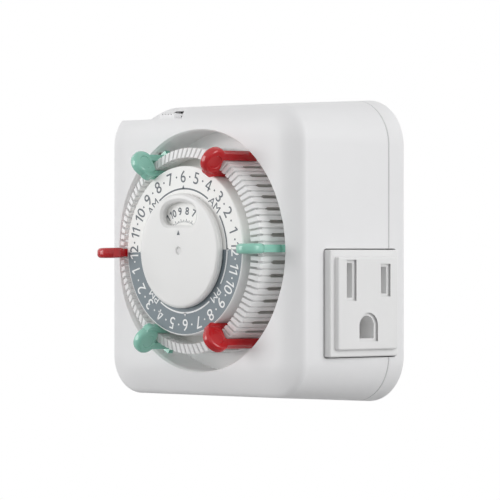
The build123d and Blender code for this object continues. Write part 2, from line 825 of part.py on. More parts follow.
def make_tripper(angle, foot_level):
    """Setting clip that straddles the fins: a round grip, two legs and an outward foot."""
    section = radial_section(angle)
    head_middle = (tripper_head_reach - tripper_head_radius, tripper_head_level)
    leg_inner = fin_inner - run_gap
    leg_outer = fin_outer + run_gap
    with BuildPart() as tripper:
        with BuildSketch(section):
            with Locations(head_middle):
                Circle(tripper_head_radius)
        extrude(amount=tripper_thickness / 2, both=True)
        fillet(tripper.edges().filter_by(GeomType.CIRCLE), radius=tripper_head_edge)
        # both faces of the head are dished inside a rim
        for side in (-1, 1):
            with BuildSketch(section.offset(side * tripper_thickness / 2)):
                with Locations(head_middle):
                    Circle(tripper_dish_radius)
            extrude(
                amount=-side * tripper_dish_depth, taper=tripper_dish_slope, mode=Mode.SUBTRACT
            )
        # the head ends flat behind, where it overhangs the outer leg
        with BuildSketch(section):
            with Locations((leg_outer, tripper_head_rear)):
                Rectangle(
                    tripper_head_radius, 2 * tripper_head_radius, align=(Align.MIN, Align.MAX)
                )
        extrude(amount=tripper_thickness, both=True, mode=Mode.SUBTRACT)
        # legs and foot; the inner leg starts at a round shoulder
        with BuildSketch(section):
            with Locations((leg_inner, inner_leg_level)):
                Rectangle(
                    inner_leg_thickness,
                    tripper_head_level - inner_leg_level,
                    align=(Align.MAX, Align.MIN),
                )
            with Locations((leg_inner, tripper_head_level)):
                Circle(shoulder_radius)
            with Locations((leg_outer, foot_level)):
                Rectangle(
                    outer_leg_thickness, tripper_head_level - foot_level, align=Align.MIN
                )
            with Locations((leg_outer, foot_level)):
                Rectangle(outer_leg_thickness + foot_reach, foot_height, align=Align.MIN)
        extrude(amount=tripper_thickness / 2 - tripper_leg_edge, both=True)
        # the slot that the fins fill
        with BuildSketch(section):
            with Locations((leg_inner, inner_leg_level - tripper_head_radius)):
                Rectangle(
                    leg_outer - leg_inner,
                    fin_tip_level + run_gap - inner_leg_level + tripper_head_radius,
                    align=Align.MIN,
                )
        extrude(amount=tripper_thickness, both=True, mode=Mode.SUBTRACT)
    return tripper.part


tripper_parts = {}
for place in range(tripper_count):
    turns_on = place % 2 == 0
    tripper_name = f"tripper_{'on' if turns_on else 'off'}_{place // 2 + 1}"
    foot_level = on_foot_level if turns_on else off_foot_level
    clip = make_tripper(dial_turn + 360 / tripper_count * place, foot_level)
    clip.label = tripper_name
    tripper_parts[tripper_name] = clip

# ---- Clock drive -----------------------------------------------------------------------------
pinion_reach = gear_module * (dial_teeth + idler_small_teeth) / 2
idler_x = pinion_reach * cos(radians(idler_angle))
idler_z = pinion_reach * sin(radians(idler_angle))
motor_reach = gear_module * (idler_large_teeth + motor_teeth) / 2
motor_x = idler_x + motor_reach * cos(radians(motor_angle))
motor_z = idler_z + motor_reach * sin(radians(motor_angle))

with BuildPart() as centre_post:
    with BuildSketch(level(movement_level + plate_metal)):
        Circle(post_radius)
    extrude(amount=cap_level - post_recess - movement_level - plate_metal)
    with BuildSketch(level(movement_level - post_tail)):
        Circle(post_radius - post_step)
    extrude(amount=plate_metal + 2 * post_tail)
    with BuildSketch(level(movement_level + plate_metal)):
        Circle(post_radius + post_collar)
    extrude(amount=dial_gear_level - movement_level - plate_metal - fit_gap)
centre_post.part.label = "centre_post"

with BuildPart() as dial_gear:
    with BuildSketch(level(dial_gear_level)):
        gear_outline(dial_teeth, idler_angle)
        Circle(post_radius + bore_gap, mode=Mode.SUBTRACT)
    extrude(amount=gear_thickness)
    with BuildSketch(level(dial_gear_level + gear_thickness)):
        Circle(gear_hub)
        Circle(post_radius + bore_gap, mode=Mode.SUBTRACT)
    extrude(amount=spring_level - bore_gap - dial_gear_level - gear_thickness)
dial_gear.part.label = "dial_gear"

with BuildPart() as friction_spring:
    with BuildSketch(dial_section):
        Polygon(
            (post_radius + run_gap, spring_level + spring_rise - spring_metal),
            (gear_hub, spring_level),
            (gear_hub, spring_level + spring_metal),
            (post_radius + run_gap, spring_level + spring_rise),
            align=None,
        )
    revolve(axis=dial_axis)
friction_spring.part.label = "friction_spring"

with BuildPart() as idler_pin:
    with BuildSketch(level(movement_level - pin_tail)):
        with Locations((idler_x, idler_z)):
            Circle(pin_radius)
    extrude(amount=floor_back - fit_gap - movement_level + pin_tail)
idler_pin.part.label = "idler_pin"

with BuildPart() as idler_gear:
    with BuildSketch(Plane((idler_x, -idler_level, idler_z), x_dir=(1, 0, 0), z_dir=(0, -1, 0))):
        gear_outline(idler_large_teeth, motor_angle)
        Circle(pin_radius + bore_gap, mode=Mode.SUBTRACT)
    extrude(amount=gear_thickness)
    with BuildSketch(
        Plane(
            (idler_x, -idler_level - gear_thickness, idler_z), x_dir=(1, 0, 0), z_dir=(0, -1, 0)
        )
    ):
        gear_outline(idler_small_teeth, idler_angle + 180 + 180 / idler_small_teeth)
        Circle(pin_radius + bore_gap, mode=Mode.SUBTRACT)
    extrude(amount=dial_gear_level - idler_level)
idler_gear.part.label = "idler_gear"

with BuildPart() as motor_pinion:
    with BuildSketch(Plane((motor_x, -idler_level, motor_z), x_dir=(1, 0, 0), z_dir=(0, -1, 0))):
        gear_outline(motor_teeth, motor_angle + 180 + 180 / motor_teeth)
    extrude(amount=gear_thickness)
    with BuildSketch(level(movement_level - motor_shaft_sink)):
        with Locations((motor_x, motor_z)):
            Circle(motor_shaft)
    extrude(amount=idler_level - movement_level + 1)
motor_pinion.part.label = "motor_pinion"

with BuildPart() as motor_case:
    with BuildSketch(level(movement_level - fit_gap)):
        with Locations((motor_x, motor_z + motor_offset)):
            Circle(motor_radius)
    extrude(amount=-motor_height)
    fillet(motor_case.faces().sort_by(Axis.Y)[-1].edges(), radius=motor_edge_radius)
    with BuildSketch(level(movement_level - fit_gap)):
        with Locations((motor_x, motor_z)):
            Circle(motor_shaft + bore_gap)
    extrude(amount=-motor_bore_depth, mode=Mode.SUBTRACT)
motor_case.part.label = "motor_case"

with BuildPart() as movement_plate:
    with BuildSketch(level(movement_level)):
        with Locations(((movement_left + movement_right) / 2, 0)):
            RectangleRounded(movement_right - movement_left, 2 * movement_half, movement_corner)
        with Locations((lever_x, lever_z)):
            Circle(2 * lever_pin_radius + lever_eye)
        Circle(post_radius - post_step + bore_gap / 2, mode=Mode.SUBTRACT)
        with Locations((idler_x, idler_z)):
            Circle(pin_radius + bore_gap / 2, mode=Mode.SUBTRACT)
        with Locations((motor_x, motor_z)):
            Circle(motor_shaft + run_gap, mode=Mode.SUBTRACT)
        with Locations((lever_x, lever_z)):
            Circle(lever_pin_radius + bore_gap / 2, mode=Mode.SUBTRACT)
        with Locations(plate_screw_places):
            Circle(screw_radius + fit_gap, mode=Mode.SUBTRACT)
    extrude(amount=plate_metal)
movement_plate.part.label = "movement_plate"

# ---- Switch ----------------------------------------------------------------------------------
inward = degrees(atan2(-lever_z, -lever_x))
foot_radius = fin_outer + run_gap + outer_leg_thickness + foot_reach
tip_reach = hypot(lever_x, lever_z) - foot_radius - run_gap

with BuildPart() as lever_pin:
    with BuildSketch(level(movement_level - lever_pin_tail)):
        with Locations((lever_x, lever_z)):
            Circle(lever_pin_radius)
    extrude(amount=body_depth - wall + lever_socket - fit_gap - movement_level + lever_pin_tail)
lever_pin.part.label = "lever_pin"


def lever_arm_shape(height, angle, reach, width):
    """Flat arm from the lever's hub towards an angle, rounded at its tip."""
    with BuildPart() as arm:
        with BuildSketch(
            Plane((lever_x, -height, lever_z), x_dir=(1, 0, 0), z_dir=(0, -1, 0))
        ):
            with Locations(Rotation(0, 0, angle)):
                with Locations((reach / 2, 0)):
                    SlotOverall(reach + width, width)
        extrude(amount=arm_thickness)
    return arm.part


with BuildPart() as trip_lever:
    with BuildSketch(level(off_arm_level)):
        with Locations((lever_x, lever_z)):
            Circle(lever_hub)
    extrude(amount=on_arm_level + arm_thickness - off_arm_level)
    add(lever_arm_shape(on_arm_level, inward + lever_spread, tip_reach - lever_arm / 2, lever_arm))
    add(lever_arm_shape(off_arm_level, inward - lever_spread, tip_reach - lever_arm / 2, lever_arm))
    add(lever_arm_shape(off_arm_level, tail_angle, tail_length, lever_arm))
    with BuildSketch(level(off_arm_level)):
        with Locations((lever_x, lever_z)):
            Circle(lever_pin_radius + bore_gap)
    extrude(amount=on_arm_level + arm_thickness - off_arm_level, mode=Mode.SUBTRACT)
trip_lever.part.label = "trip_lever"

# contact button on the lever's tail, and the fixed contact that it closes on
tail_out = Vector(cos(radians(tail_angle)), 0, sin(radians(tail_angle)))
tail_side = Vector(0, 1, 0).cross(tail_out)
button_place = Vector(lever_x, 0, lever_z) + tail_out * (tail_length - contact_button)
button_travel = (tail_length - contact_button) * sin(radians(lever_swing))
contact_face = lever_arm / 2 + contact_stand + button_travel + run_gap / 2
button_level = off_arm_level + arm_thickness / 2
button_back = button_place + Vector(0, -button_level, 0) + tail_side * lever_arm / 2
contact_side_plane = Plane(button_place, x_dir=tail_side, z_dir=tail_side.cross(Vector(0, -1, 0)))

with BuildPart() as moving_contact:
    with BuildSketch(Plane(button_back, x_dir=tail_out, z_dir=tail_side)):
        Circle(contact_button)
    extrude(amount=contact_stand)
moving_contact.part.label = "moving_contact"

foot_middle = movement_level + plate_metal + contact_metal / 2
with BuildPart() as fixed_contact:
    with BuildSketch(contact_side_plane):
        with BuildLine():
            Polyline(
                (contact_face - contact_foot, foot_middle),
                (contact_face + contact_metal / 2, foot_middle),
                (contact_face + contact_metal / 2, off_arm_level + arm_thickness + run_gap),
            )
        trace(line_width=contact_metal)
    extrude(amount=1.5 * contact_button, both=True)
fixed_contact.part.label = "fixed_contact"

# ---- Override slide --------------------------------------------------------------------------
slider_middle = slot_left + 2 * run_gap + slider_neck / 2
neck_bottom = slot_bottom + run_gap / 2
with BuildPart() as override_slider:
    with BuildSketch(level(channel_front - run_gap - slider_flange)):
        with Locations((slider_middle, (channel_bottom + channel_top) / 2)):
            Rectangle(
                slider_knob + 2 * slider_side, channel_top - channel_bottom - 2 * run_gap
            )
    extrude(amount=slider_flange)
    with BuildSketch(level(channel_front - run_gap - slider_flange)):
        with Locations((slider_middle, (neck_bottom + knob_top) / 2)):
            Rectangle(slider_neck, knob_top - neck_bottom)
    extrude(amount=recess_wall_front + run_gap - channel_front + run_gap + slider_flange)
    with BuildSketch(level(recess_wall_front + run_gap)):
        with Locations((slider_middle, recess_floor + run_gap)):
            Rectangle(slider_knob, knob_top - recess_floor - run_gap, align=(Align.CENTER, Align.MIN))
    extrude(amount=slider_knob_depth)
    # grip ribs across the top of the knob
    with BuildSketch(Plane.XY.offset(knob_top)):
        with Locations((slider_middle, -recess_wall_front - run_gap - slider_knob_depth / 2)):
            with GridLocations(slider_rib_pitch, 0, slider_ribs - 1, 1):
                Rectangle(slider_rib_gap, slider_knob_depth)
    extrude(amount=-slider_rib_depth, mode=Mode.SUBTRACT)
override_slider.part.label = "override_slider"

# ---- Fasteners -------------------------------------------------------------------------------
with BuildPart() as case_screws:
    with BuildSketch(level(screw_recess - screw_head_height)):
        with GridLocations(2 * case_screw_x, 2 * case_screw_z, 2, 2):
            Circle(screw_head)
    extrude(amount=screw_head_height)
    with BuildSketch(level(screw_recess)):
        with GridLocations(2 * case_screw_x, 2 * case_screw_z, 2, 2):
            Circle(screw_radius)
    extrude(amount=case_screw_length)
case_screws.part.label = "case_screws"

with BuildPart() as plate_screws:
    with BuildSketch(level(movement_level)):
        with Locations(plate_screw_places):
            Circle(plate_head)
    extrude(amount=-screw_head_height)
    with BuildSketch(level(movement_level)):
        with Locations(plate_screw_places):
            Circle(screw_radius)
    extrude(amount=plate_screw_length)
plate_screws.part.label = "plate_screws"

# ---- Files -----------------------------------------------------------------------------------
finished = [
    front_housing.part,
    rear_cover.part,
    receptacle_face.part,
    contact_box.part,
    line_contact.part,
    neutral_contact.part,
    ground_contact.part,
    blade_carrier.part,
    line_blade.part,
    neutral_blade.part,
    ground_pin.part,
    dial_drum.part,
    dial_plate.part,
    centre_cap.part,
    centre_post.part,
    dial_gear.part,
    friction_spring.part,
    idler_pin.part,
    idler_gear.part,
    motor_pinion.part,
    motor_case.part,
    movement_plate.part,
    lever_pin.part,
    trip_lever.part,
    moving_contact.part,
    fixed_contact.part,
    override_slider.part,
    case_screws.part,
    plate_screws.part,
    *tripper_parts.values(),
]

os.makedirs("parts", exist_ok=True)
for piece in finished:
    export_step(piece, f"parts/{piece.label}.step")
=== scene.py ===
"""Dresses a plug-in 24-hour timer: moulded housing, finned dial, printed hours, clips and plug.

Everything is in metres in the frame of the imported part. The wall is the plane y = 0, the front of
the timer faces -y, +x is to the right seen from the front and +z is up. Sizes in the classes below
are in millimetres, and MM turns them to metres.
"""

import json
import logging
import math
from collections.abc import Callable
from dataclasses import dataclass
from enum import Enum

import bmesh
import bpy
import numpy as np
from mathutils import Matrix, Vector


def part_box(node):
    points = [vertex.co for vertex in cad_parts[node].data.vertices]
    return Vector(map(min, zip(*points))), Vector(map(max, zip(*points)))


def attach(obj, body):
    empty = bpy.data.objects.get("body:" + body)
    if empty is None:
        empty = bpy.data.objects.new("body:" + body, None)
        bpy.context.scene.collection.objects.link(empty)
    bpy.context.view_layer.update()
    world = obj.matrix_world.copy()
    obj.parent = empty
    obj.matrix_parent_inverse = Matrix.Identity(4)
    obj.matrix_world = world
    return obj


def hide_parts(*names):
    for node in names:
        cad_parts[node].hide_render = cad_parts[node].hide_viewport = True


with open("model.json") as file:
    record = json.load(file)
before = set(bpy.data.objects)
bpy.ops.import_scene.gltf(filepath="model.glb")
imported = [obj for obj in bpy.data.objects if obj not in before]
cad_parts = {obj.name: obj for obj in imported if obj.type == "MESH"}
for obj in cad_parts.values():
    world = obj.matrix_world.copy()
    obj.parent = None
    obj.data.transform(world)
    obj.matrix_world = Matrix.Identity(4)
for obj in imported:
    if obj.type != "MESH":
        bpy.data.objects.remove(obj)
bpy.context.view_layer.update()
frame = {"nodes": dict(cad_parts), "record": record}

MM = 0.001
PLASTIC_IOR = 1.5  # ABS, nylon, acetal and dried ink all come close to it
NOISE_LOW, NOISE_HIGH = 0.3, 0.7  # the range that nearly all of a noise texture's values fall in
DISC_TURN_DEG = 1.2  # how far the dial stands past the top, counter-clockwise from the front
BLADES = ("line_blade", "neutral_blade", "ground_pin")
WELD_MM = 0.002  # points closer than this are one point
SPECK_MM = 0.001  # edges and marks below this are nothing
FLAT_DEG = 0.4  # faces that meet at less than this are one face

Colour = tuple[float, float, float, float]  # red, green, blue and alpha in linear light
Outline = tuple[np.ndarray, list]  # points in metres, and faces as lists of point numbers

log = logging.getLogger("timer")


# ---- Nodes and colours ---------------------------------------------------------------------------


def linear(colour: str) -> Colour:
    """Turn an sRGB hex colour to linear light.

    Args:
        colour: a colour such as "#EDEDEB".

    Returns:
        Red, green, blue and an alpha of 1.
    """
    channels = np.array([int(colour[at : at + 2], 16) for at in (1, 3, 5)]) / 255
    curved = ((channels + 0.055) / 1.055) ** 2.4
    red, green, blue = np.where(channels <= 0.04045, channels / 12.92, curved).tolist()
    return red, green, blue, 1.0


def add_node(
    tree: bpy.types.NodeTree,
    kind: str,
    settings: dict[str, object] | None = None,
    inputs: dict[str | int, object] | None = None,
) -> bpy.types.Node:
    """Add a shader node with its settings, values and links.

    Args:
        tree: the node tree that takes the node.
        kind: the node's type, such as "ShaderNodeBump".
        settings: properties of the node by name.
        inputs: what each input takes, by name or number: a value, or a socket to link from.

    Returns:
        The new node.
    """
    node = tree.nodes.new(kind)
    for name, value in (settings or {}).items():
        setattr(node, name, value)
    for name, value in (inputs or {}).items():
        if isinstance(value, bpy.types.NodeSocket):
            tree.links.new(value, node.inputs[name])
        else:
            node.inputs[name].default_value = value
    return node


def new_material(name: str) -> tuple[bpy.types.Material, bpy.types.NodeTree]:
    """Make a node material with nothing in it.

    Args:
        name: the material's name.

    Returns:
        The material and its node tree.
    """
    material = bpy.data.materials.new(name)
    material.use_nodes = True
    material.node_tree.nodes.clear()
    return material, material.node_tree


# ---- Finishes ------------------------------------------------------------------------------------


@dataclass(frozen=True)
class MouldedPlastic:
    """Injection-moulded plastic, with the fine grain that the tool's surface leaves.

    The grain breaks up reflections, a slow mottle shifts the shade by a percent or two as resin
    flow does, thin acetal lets a little light through, and narrow gaps and pockets are darkened by
    painted shade. A real tool's grain is well under 0.1 mm and too fine to show, so it is drawn as
    coarse as it needs to be to soften a highlight.
    """

    name: str
    colour: str
    roughness: float = 0.42
    grain_mm: float = 0.35
    grain_depth_mm: float = 0.006
    mottle_mm: float = 14.0
    mottle: float = 0.02
    coat: float = 0.0
    translucency: float = 0.0
    depth_mm: float = 1.0
    # Painted shade: the share of its colour that the plastic loses in narrow gaps, and how far it
    # reaches.
    crevice_shade: float = 0.0
    crevice_shade_mm: float = 1.0
    gloss_spread: float = 0.04
    grain_strength: float = 0.6
    coat_roughness: float = 0.12

    def paint_crevice_shade(
        self, tree: bpy.types.NodeTree, colour: bpy.types.NodeSocket
    ) -> bpy.types.NodeSocket:
        """Paint shade on a colour where short rays of the crevice's length meet the part.

        It is multiplied by a factor that falls from 1, where no ray meets the part, to one less
        the share of painted shade where all of them do.

        Args:
            tree: the material's node tree.
            colour: the colour in the open.

        Returns:
            The colour with shade painted in.
        """
        open_air = add_node(
            tree, "ShaderNodeAmbientOcclusion", inputs={"Distance": self.crevice_shade_mm * MM}
        )
        sunk = add_node(
            tree,
            "ShaderNodeMapRange",
            inputs={"Value": open_air.outputs["AO"], "To Min": 1 - self.crevice_shade, "To Max": 1.0},
        )
        shaded = add_node(
            tree,
            "ShaderNodeMix",
            settings={"data_type": "RGBA", "blend_type": "MULTIPLY"},
            inputs={"Factor": 1.0, 6: colour, 7: sunk.outputs["Result"]},
        )
        return shaded.outputs[2]

    def build(self) -> bpy.types.Material:
        """Build the material.

        The colour is the base colour times the mottle, with shade painted into crevices where the
        finish has a share for it. The roughness follows the mottle too.

        Returns:
            The new material.
        """
        material, tree = new_material(self.name)
        place = add_node(tree, "ShaderNodeTexCoord").outputs["Object"]
        slow = add_node(
            tree,
            "ShaderNodeTexNoise",
            inputs={"Vector": place, "Scale": 1 / (self.mottle_mm * MM), "Detail": 2.0},
        )
        shade = add_node(
            tree,
            "ShaderNodeMapRange",
            inputs={
                "Value": slow.outputs["Fac"],
                "From Min": NOISE_LOW,
                "From Max": NOISE_HIGH,
                "To Min": 1 - self.mottle,
                "To Max": 1.0,
            },
        )
        tint = add_node(
            tree,
            "ShaderNodeMix",
            settings={"data_type": "RGBA", "blend_type": "MULTIPLY"},
            inputs={"Factor": 1.0, 6: linear(self.colour), 7: shade.outputs["Result"]},
        )
        colour = tint.outputs[2]
        # Shade is painted into narrow gaps where the finish has a share for it.
        if self.crevice_shade > 0:
            colour = self.paint_crevice_shade(tree, colour)
        grain = add_node(
            tree,
            "ShaderNodeTexNoise",
            inputs={"Vector": place, "Scale": 1 / (self.grain_mm * MM), "Detail": 3.0},
        )
        gloss = add_node(
            tree,
            "ShaderNodeMapRange",
            inputs={
                "Value": slow.outputs["Fac"],
                "To Min": self.roughness - self.gloss_spread,
                "To Max": self.roughness + self.gloss_spread,
            },
        )
        bump = add_node(
            tree,
            "ShaderNodeBump",
            inputs={
                "Height": grain.outputs["Fac"],
                "Strength": self.grain_strength,
                "Distance": self.grain_depth_mm * MM,
            },
        )
        shader = add_node(
            tree,
            "ShaderNodeBsdfPrincipled",
            inputs={
                "Base Color": colour,
                "Roughness": gloss.outputs["Result"],
                "Normal": bump.outputs["Normal"],
                "IOR": PLASTIC_IOR,
                "Coat Weight": self.coat,
                "Coat Roughness": self.coat_roughness,
                "Subsurface Weight": self.translucency,
                "Subsurface Radius": (1.0, 1.0, 1.0),
                "Subsurface Scale": self.depth_mm * MM,
            },
        )
        add_node(
            tree, "ShaderNodeOutputMaterial", inputs={"Surface": shader.outputs["BSDF"]}
        )
        return material


@dataclass(frozen=True, kw_only=True)
class ScreenPrint:
    """Screen-print ink in one colour: matt, with the slight speckle that the mesh leaves.

    A real mesh leaves specks well under 0.1 mm, too fine to show, so they are drawn coarser.
    """

    name: str
    colour: str
    roughness: float = 0.45
    speckle_mm: float = 0.3
    speckle_depth_mm: float = 0.006
    speckle_strength: float = 0.5

    def tone(
        self, tree: bpy.types.NodeTree, place: bpy.types.NodeSocket
    ) -> Colour | bpy.types.NodeSocket:
        """Give the ink's one colour."""
        return linear(self.colour)

    def build(self) -> bpy.types.Material:
        """Build the material.

        Returns:
            The new material.
        """
        material, tree = new_material(self.name)
        place = add_node(tree, "ShaderNodeTexCoord").outputs["Object"]
        speckle = add_node(
            tree,
            "ShaderNodeTexNoise",
            inputs={"Vector": place, "Scale": 1 / (self.speckle_mm * MM), "Detail": 2.0},
        )
        bump = add_node(
            tree,
            "ShaderNodeBump",
            inputs={
                "Height": speckle.outputs["Fac"],
                "Strength": self.speckle_strength,
                "Distance": self.speckle_depth_mm * MM,
            },
        )
        shader = add_node(
            tree,
            "ShaderNodeBsdfPrincipled",
            inputs={
                "Base Color": self.tone(tree, place),
                "Roughness": self.roughness,
                "Normal": bump.outputs["Normal"],
                "IOR": PLASTIC_IOR,
            },
        )
        add_node(
            tree, "ShaderNodeOutputMaterial", inputs={"Surface": shader.outputs["BSDF"]}
        )
        return material


@dataclass(frozen=True, kw_only=True)
class HalfPrint(ScreenPrint):
    """Print that changes colour at the line between the dial's day half and night half.

    Above the line it has its own colour. Below it is the night colour, between two radii about the
    dial's axis, and bare plastic elsewhere, so the disc keeps a thin light rim.
    """

    night: str
    bare: str
    turn_deg: float
    inner_mm: float
    outer_mm: float

    def tone(
        self, tree: bpy.types.NodeTree, place: bpy.types.NodeSocket
    ) -> Colour | bpy.types.NodeSocket:
        """Choose the colour by the place on the dial.

        A point is in the night half where its z is below nought once it is turned back by the
        dial's turn, and in the band where its distance from the y axis is between the two radii.

        Args:
            tree: the material's node tree.
            place: the point on the part.

        Returns:
            The colour at that point.
        """
        turned = add_node(
            tree,
            "ShaderNodeVectorRotate",
            settings={"rotation_type": "Y_AXIS"},
            inputs={"Vector": place, "Angle": math.radians(self.turn_deg)},
        )
        parts = add_node(
            tree, "ShaderNodeSeparateXYZ", inputs={"Vector": turned.outputs["Vector"]}
        )
        below = add_node(
            tree,
            "ShaderNodeMath",
            settings={"operation": "LESS_THAN"},
            inputs={0: parts.outputs["Z"], 1: 0.0},
        )
        flat = add_node(
            tree,
            "ShaderNodeVectorMath",
            settings={"operation": "MULTIPLY"},
            inputs={0: place, 1: (1.0, 0.0, 1.0)},
        )
        radius = add_node(
            tree,
            "ShaderNodeVectorMath",
            settings={"operation": "LENGTH"},
            inputs={0: flat.outputs["Vector"]},
        )
        past_inner = add_node(
            tree,
            "ShaderNodeMath",
            settings={"operation": "GREATER_THAN"},
            inputs={0: radius.outputs["Value"], 1: self.inner_mm * MM},
        )
        within_outer = add_node(
            tree,
            "ShaderNodeMath",
            settings={"operation": "LESS_THAN"},
            inputs={0: radius.outputs["Value"], 1: self.outer_mm * MM},
        )
        band = add_node(
            tree,
            "ShaderNodeMath",
            settings={"operation": "MULTIPLY"},
            inputs={0: past_inner.outputs["Value"], 1: within_outer.outputs["Value"]},
        )
        night_or_bare = add_node(
            tree,
            "ShaderNodeMix",
            settings={"data_type": "RGBA"},
            inputs={
                "Factor": band.outputs["Value"],
                6: linear(self.bare),
                7: linear(self.night),
            },
        )
        colour = add_node(
            tree,
            "ShaderNodeMix",
            settings={"data_type": "RGBA"},
            inputs={
                "Factor": below.outputs["Value"],
                6: linear(self.colour),
                7: night_or_bare.outputs[2],
            },
        )
        return colour.outputs[2]


@dataclass(frozen=True)
class RolledMetal:
    """Rolled or stamped metal: fine streaks along the sheet and a slightly uneven gloss.

    Real streaks are a few hundredths of a millimetre wide, too fine to show, so they are drawn
    coarser.
    """

    name: str
    colour: str
    roughness: float = 0.3
    streak_mm: float = 0.25
    stretch: float = 12.0
    streak_depth_mm: float = 0.004
    streak_strength: float = 0.4
    smoother: float = 0.08
    rougher: float = 0.1

    def build(self) -> bpy.types.Material:
        """Build the material.

        The streaks are a noise that is drawn out along y, and they shift both the roughness and
        the height of the surface.

        Returns:
            The new material.
        """
        material, tree = new_material(self.name)
        place = add_node(tree, "ShaderNodeTexCoord").outputs["Object"]
        drawn = add_node(
            tree,
            "ShaderNodeMapping",
            inputs={"Vector": place, "Scale": (1.0, 1 / self.stretch, 1.0)},
        )
        streaks = add_node(
            tree,
            "ShaderNodeTexNoise",
            inputs={
                "Vector": drawn.outputs["Vector"],
                "Scale": 1 / (self.streak_mm * MM),
                "Detail": 3.0,
            },
        )
        gloss = add_node(
            tree,
            "ShaderNodeMapRange",
            inputs={
                "Value": streaks.outputs["Fac"],
                "To Min": self.roughness - self.smoother,
                "To Max": self.roughness + self.rougher,
            },
        )
        bump = add_node(
            tree,
            "ShaderNodeBump",
            inputs={
                "Height": streaks.outputs["Fac"],
                "Strength": self.streak_strength,
                "Distance": self.streak_depth_mm * MM,
            },
        )
        shader = add_node(
            tree,
            "ShaderNodeBsdfPrincipled",
            inputs={
                "Base Color": linear(self.colour),
                "Metallic": 1.0,
                "Roughness": gloss.outputs["Result"],
                "Normal": bump.outputs["Normal"],
            },
        )
        add_node(
            tree, "ShaderNodeOutputMaterial", inputs={"Surface": shader.outputs["BSDF"]}
        )
        return material


# ---- Meshes --------------------------------------------------------------------------------------

CURVE_STEPS = 4  # straight pieces in each curved part of a letter
LETTER_SPACE = 1.02  # room that a letter takes, as a share of the font's own
ARC_STEP_DEG = 2.0  # length of one straight piece of a printed arc
FIGURE_GAP = 0.13  # gap between two figures, as a share of their height

# Figures drawn by their strokes, in shares of a figure's height about its middle.
STROKES = {
    # a stem with a slanting flag
    "1": [
        [
            (0.18, -0.5),
            (0.18, 0.5),
            (0.07, 0.5),
            (-0.18, 0.31),
            (-0.18, 0.17),
            (0.05, 0.31),
            (0.05, -0.5),
        ],
    ],
    # a stem, a bar and a slanting stroke from the bar's end to the top of the stem
    "4": [
        [(0.06, -0.5), (0.18, -0.5), (0.18, 0.5), (0.06, 0.5)],
        [(-0.33, -0.28), (0.32, -0.28), (0.32, -0.17), (-0.33, -0.17)],
        [(-0.33, -0.17), (-0.2, -0.17), (0.18, 0.5), (0.04, 0.5)],
    ],
}


class EdgeBreak(Enum):
    """Radius, in millimetres, that a moulding tool or a tumbler leaves on a sharp edge."""

    NONE = 0.0
    CRISP = 0.08
    FINE = 0.15
    SOFT = 0.25
    ROUND = 0.46

    def steps(self) -> int:
        """Give the number of flat steps round the edge, one more where it shows as round."""
        return 3 if self is EdgeBreak.ROUND else 2


def add_piece(name: str, points: np.ndarray, faces: list, smooth: bool = True) -> bpy.types.Object:
    """Make a mesh object at the origin from points in the part's frame.

    Args:
        name: the piece's name.
        points: an array of points, in metres.
        faces: lists of point numbers.
        smooth: whether its faces shade smoothly.

    Returns:
        The new object, linked to the scene.
    """
    mesh = bpy.data.meshes.new(name)
    mesh.from_pydata(points.tolist(), [], faces)
    mesh.polygons.foreach_set("use_smooth", np.full(len(mesh.polygons), smooth))
    piece = bpy.data.objects.new(name, mesh)
    bpy.context.scene.collection.objects.link(piece)
    return piece


def edge_middles(mesh: bpy.types.Mesh) -> np.ndarray:
    """Find the middle of each edge, which is the mean of its two ends.

    Args:
        mesh: the mesh.

    Returns:
        One point for each edge, in metres.
    """
    points = np.zeros(len(mesh.vertices) * 3)
    mesh.vertices.foreach_get("co", points)
    ends = np.zeros(len(mesh.edges) * 2, dtype=np.int32)
    mesh.edges.foreach_get("vertices", ends)
    return points.reshape(-1, 3)[ends.reshape(-1, 2)].mean(1)


def in_full(middles: np.ndarray) -> np.ndarray:
    """Give each edge the whole of its radius."""
    return np.ones(len(middles))


def smooth_skin(
    node: str,
    edge: EdgeBreak,
    sharp_deg: float = 26.0,
    share: Callable[[np.ndarray], np.ndarray] = in_full,
) -> bpy.types.Object:
    """Copy a CAD node's mesh as one welded surface with broken edges.

    Args:
        node: the CAD node that the copy stands for.
        edge: how far its sharp edges are rounded.
        sharp_deg: the smallest angle between two faces that counts as an edge.
        share: gives the share of that radius for edges with these middle points.

    Returns:
        The new piece, with the node hidden in its favour.
    """
    mesh = frame["nodes"][node].data.copy()
    mesh.name = node + "_skin"
    mesh.materials.clear()
    if "custom_normal" in mesh.attributes:
        mesh.attributes.remove(mesh.attributes["custom_normal"])
    work = bmesh.new()
    work.from_mesh(mesh)
    bmesh.ops.remove_doubles(work, verts=work.verts, dist=WELD_MM * MM)
    bmesh.ops.dissolve_degenerate(work, edges=work.edges, dist=SPECK_MM * MM)
    bmesh.ops.dissolve_limit(
        work, angle_limit=math.radians(FLAT_DEG), verts=work.verts, edges=work.edges
    )
    work.to_mesh(mesh)
    work.free()
    mesh.polygons.foreach_set("use_smooth", np.full(len(mesh.polygons), True))
    mesh.set_sharp_from_angle(angle=math.radians(sharp_deg))
    piece = bpy.data.objects.new(node + "_skin", mesh)
    bpy.context.scene.collection.objects.link(piece)
    if edge is not EdgeBreak.NONE:
        sharp = np.zeros(len(mesh.edges), dtype=bool)
        mesh.attributes["sharp_edge"].data.foreach_get("value", sharp)
        weights = mesh.attributes.new("bevel_weight_edge", "FLOAT", "EDGE")
        weights.data.foreach_set("value", np.where(sharp, share(edge_middles(mesh)), 0.0))
        bevel = piece.modifiers.new("broken_edges", "BEVEL")
        bevel.width = edge.value * MM
        bevel.segments = edge.steps()
        bevel.limit_method = "WEIGHT"
        bevel.harden_normals = True
    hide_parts(node)
    return piece


def dress(piece: bpy.types.Object, finish: bpy.types.Material, body: str) -> None:
    """Give a piece its finish and the body that it rides on.

    Args:
        piece: the piece.
        finish: its material.
        body: the name of the CAD body that it moves with.
    """
    piece.data.materials.clear()
    piece.data.materials.append(finish)
    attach(piece, body)
    log.info("%s: %d faces, rides on %s", piece.name, len(piece.data.polygons), body)


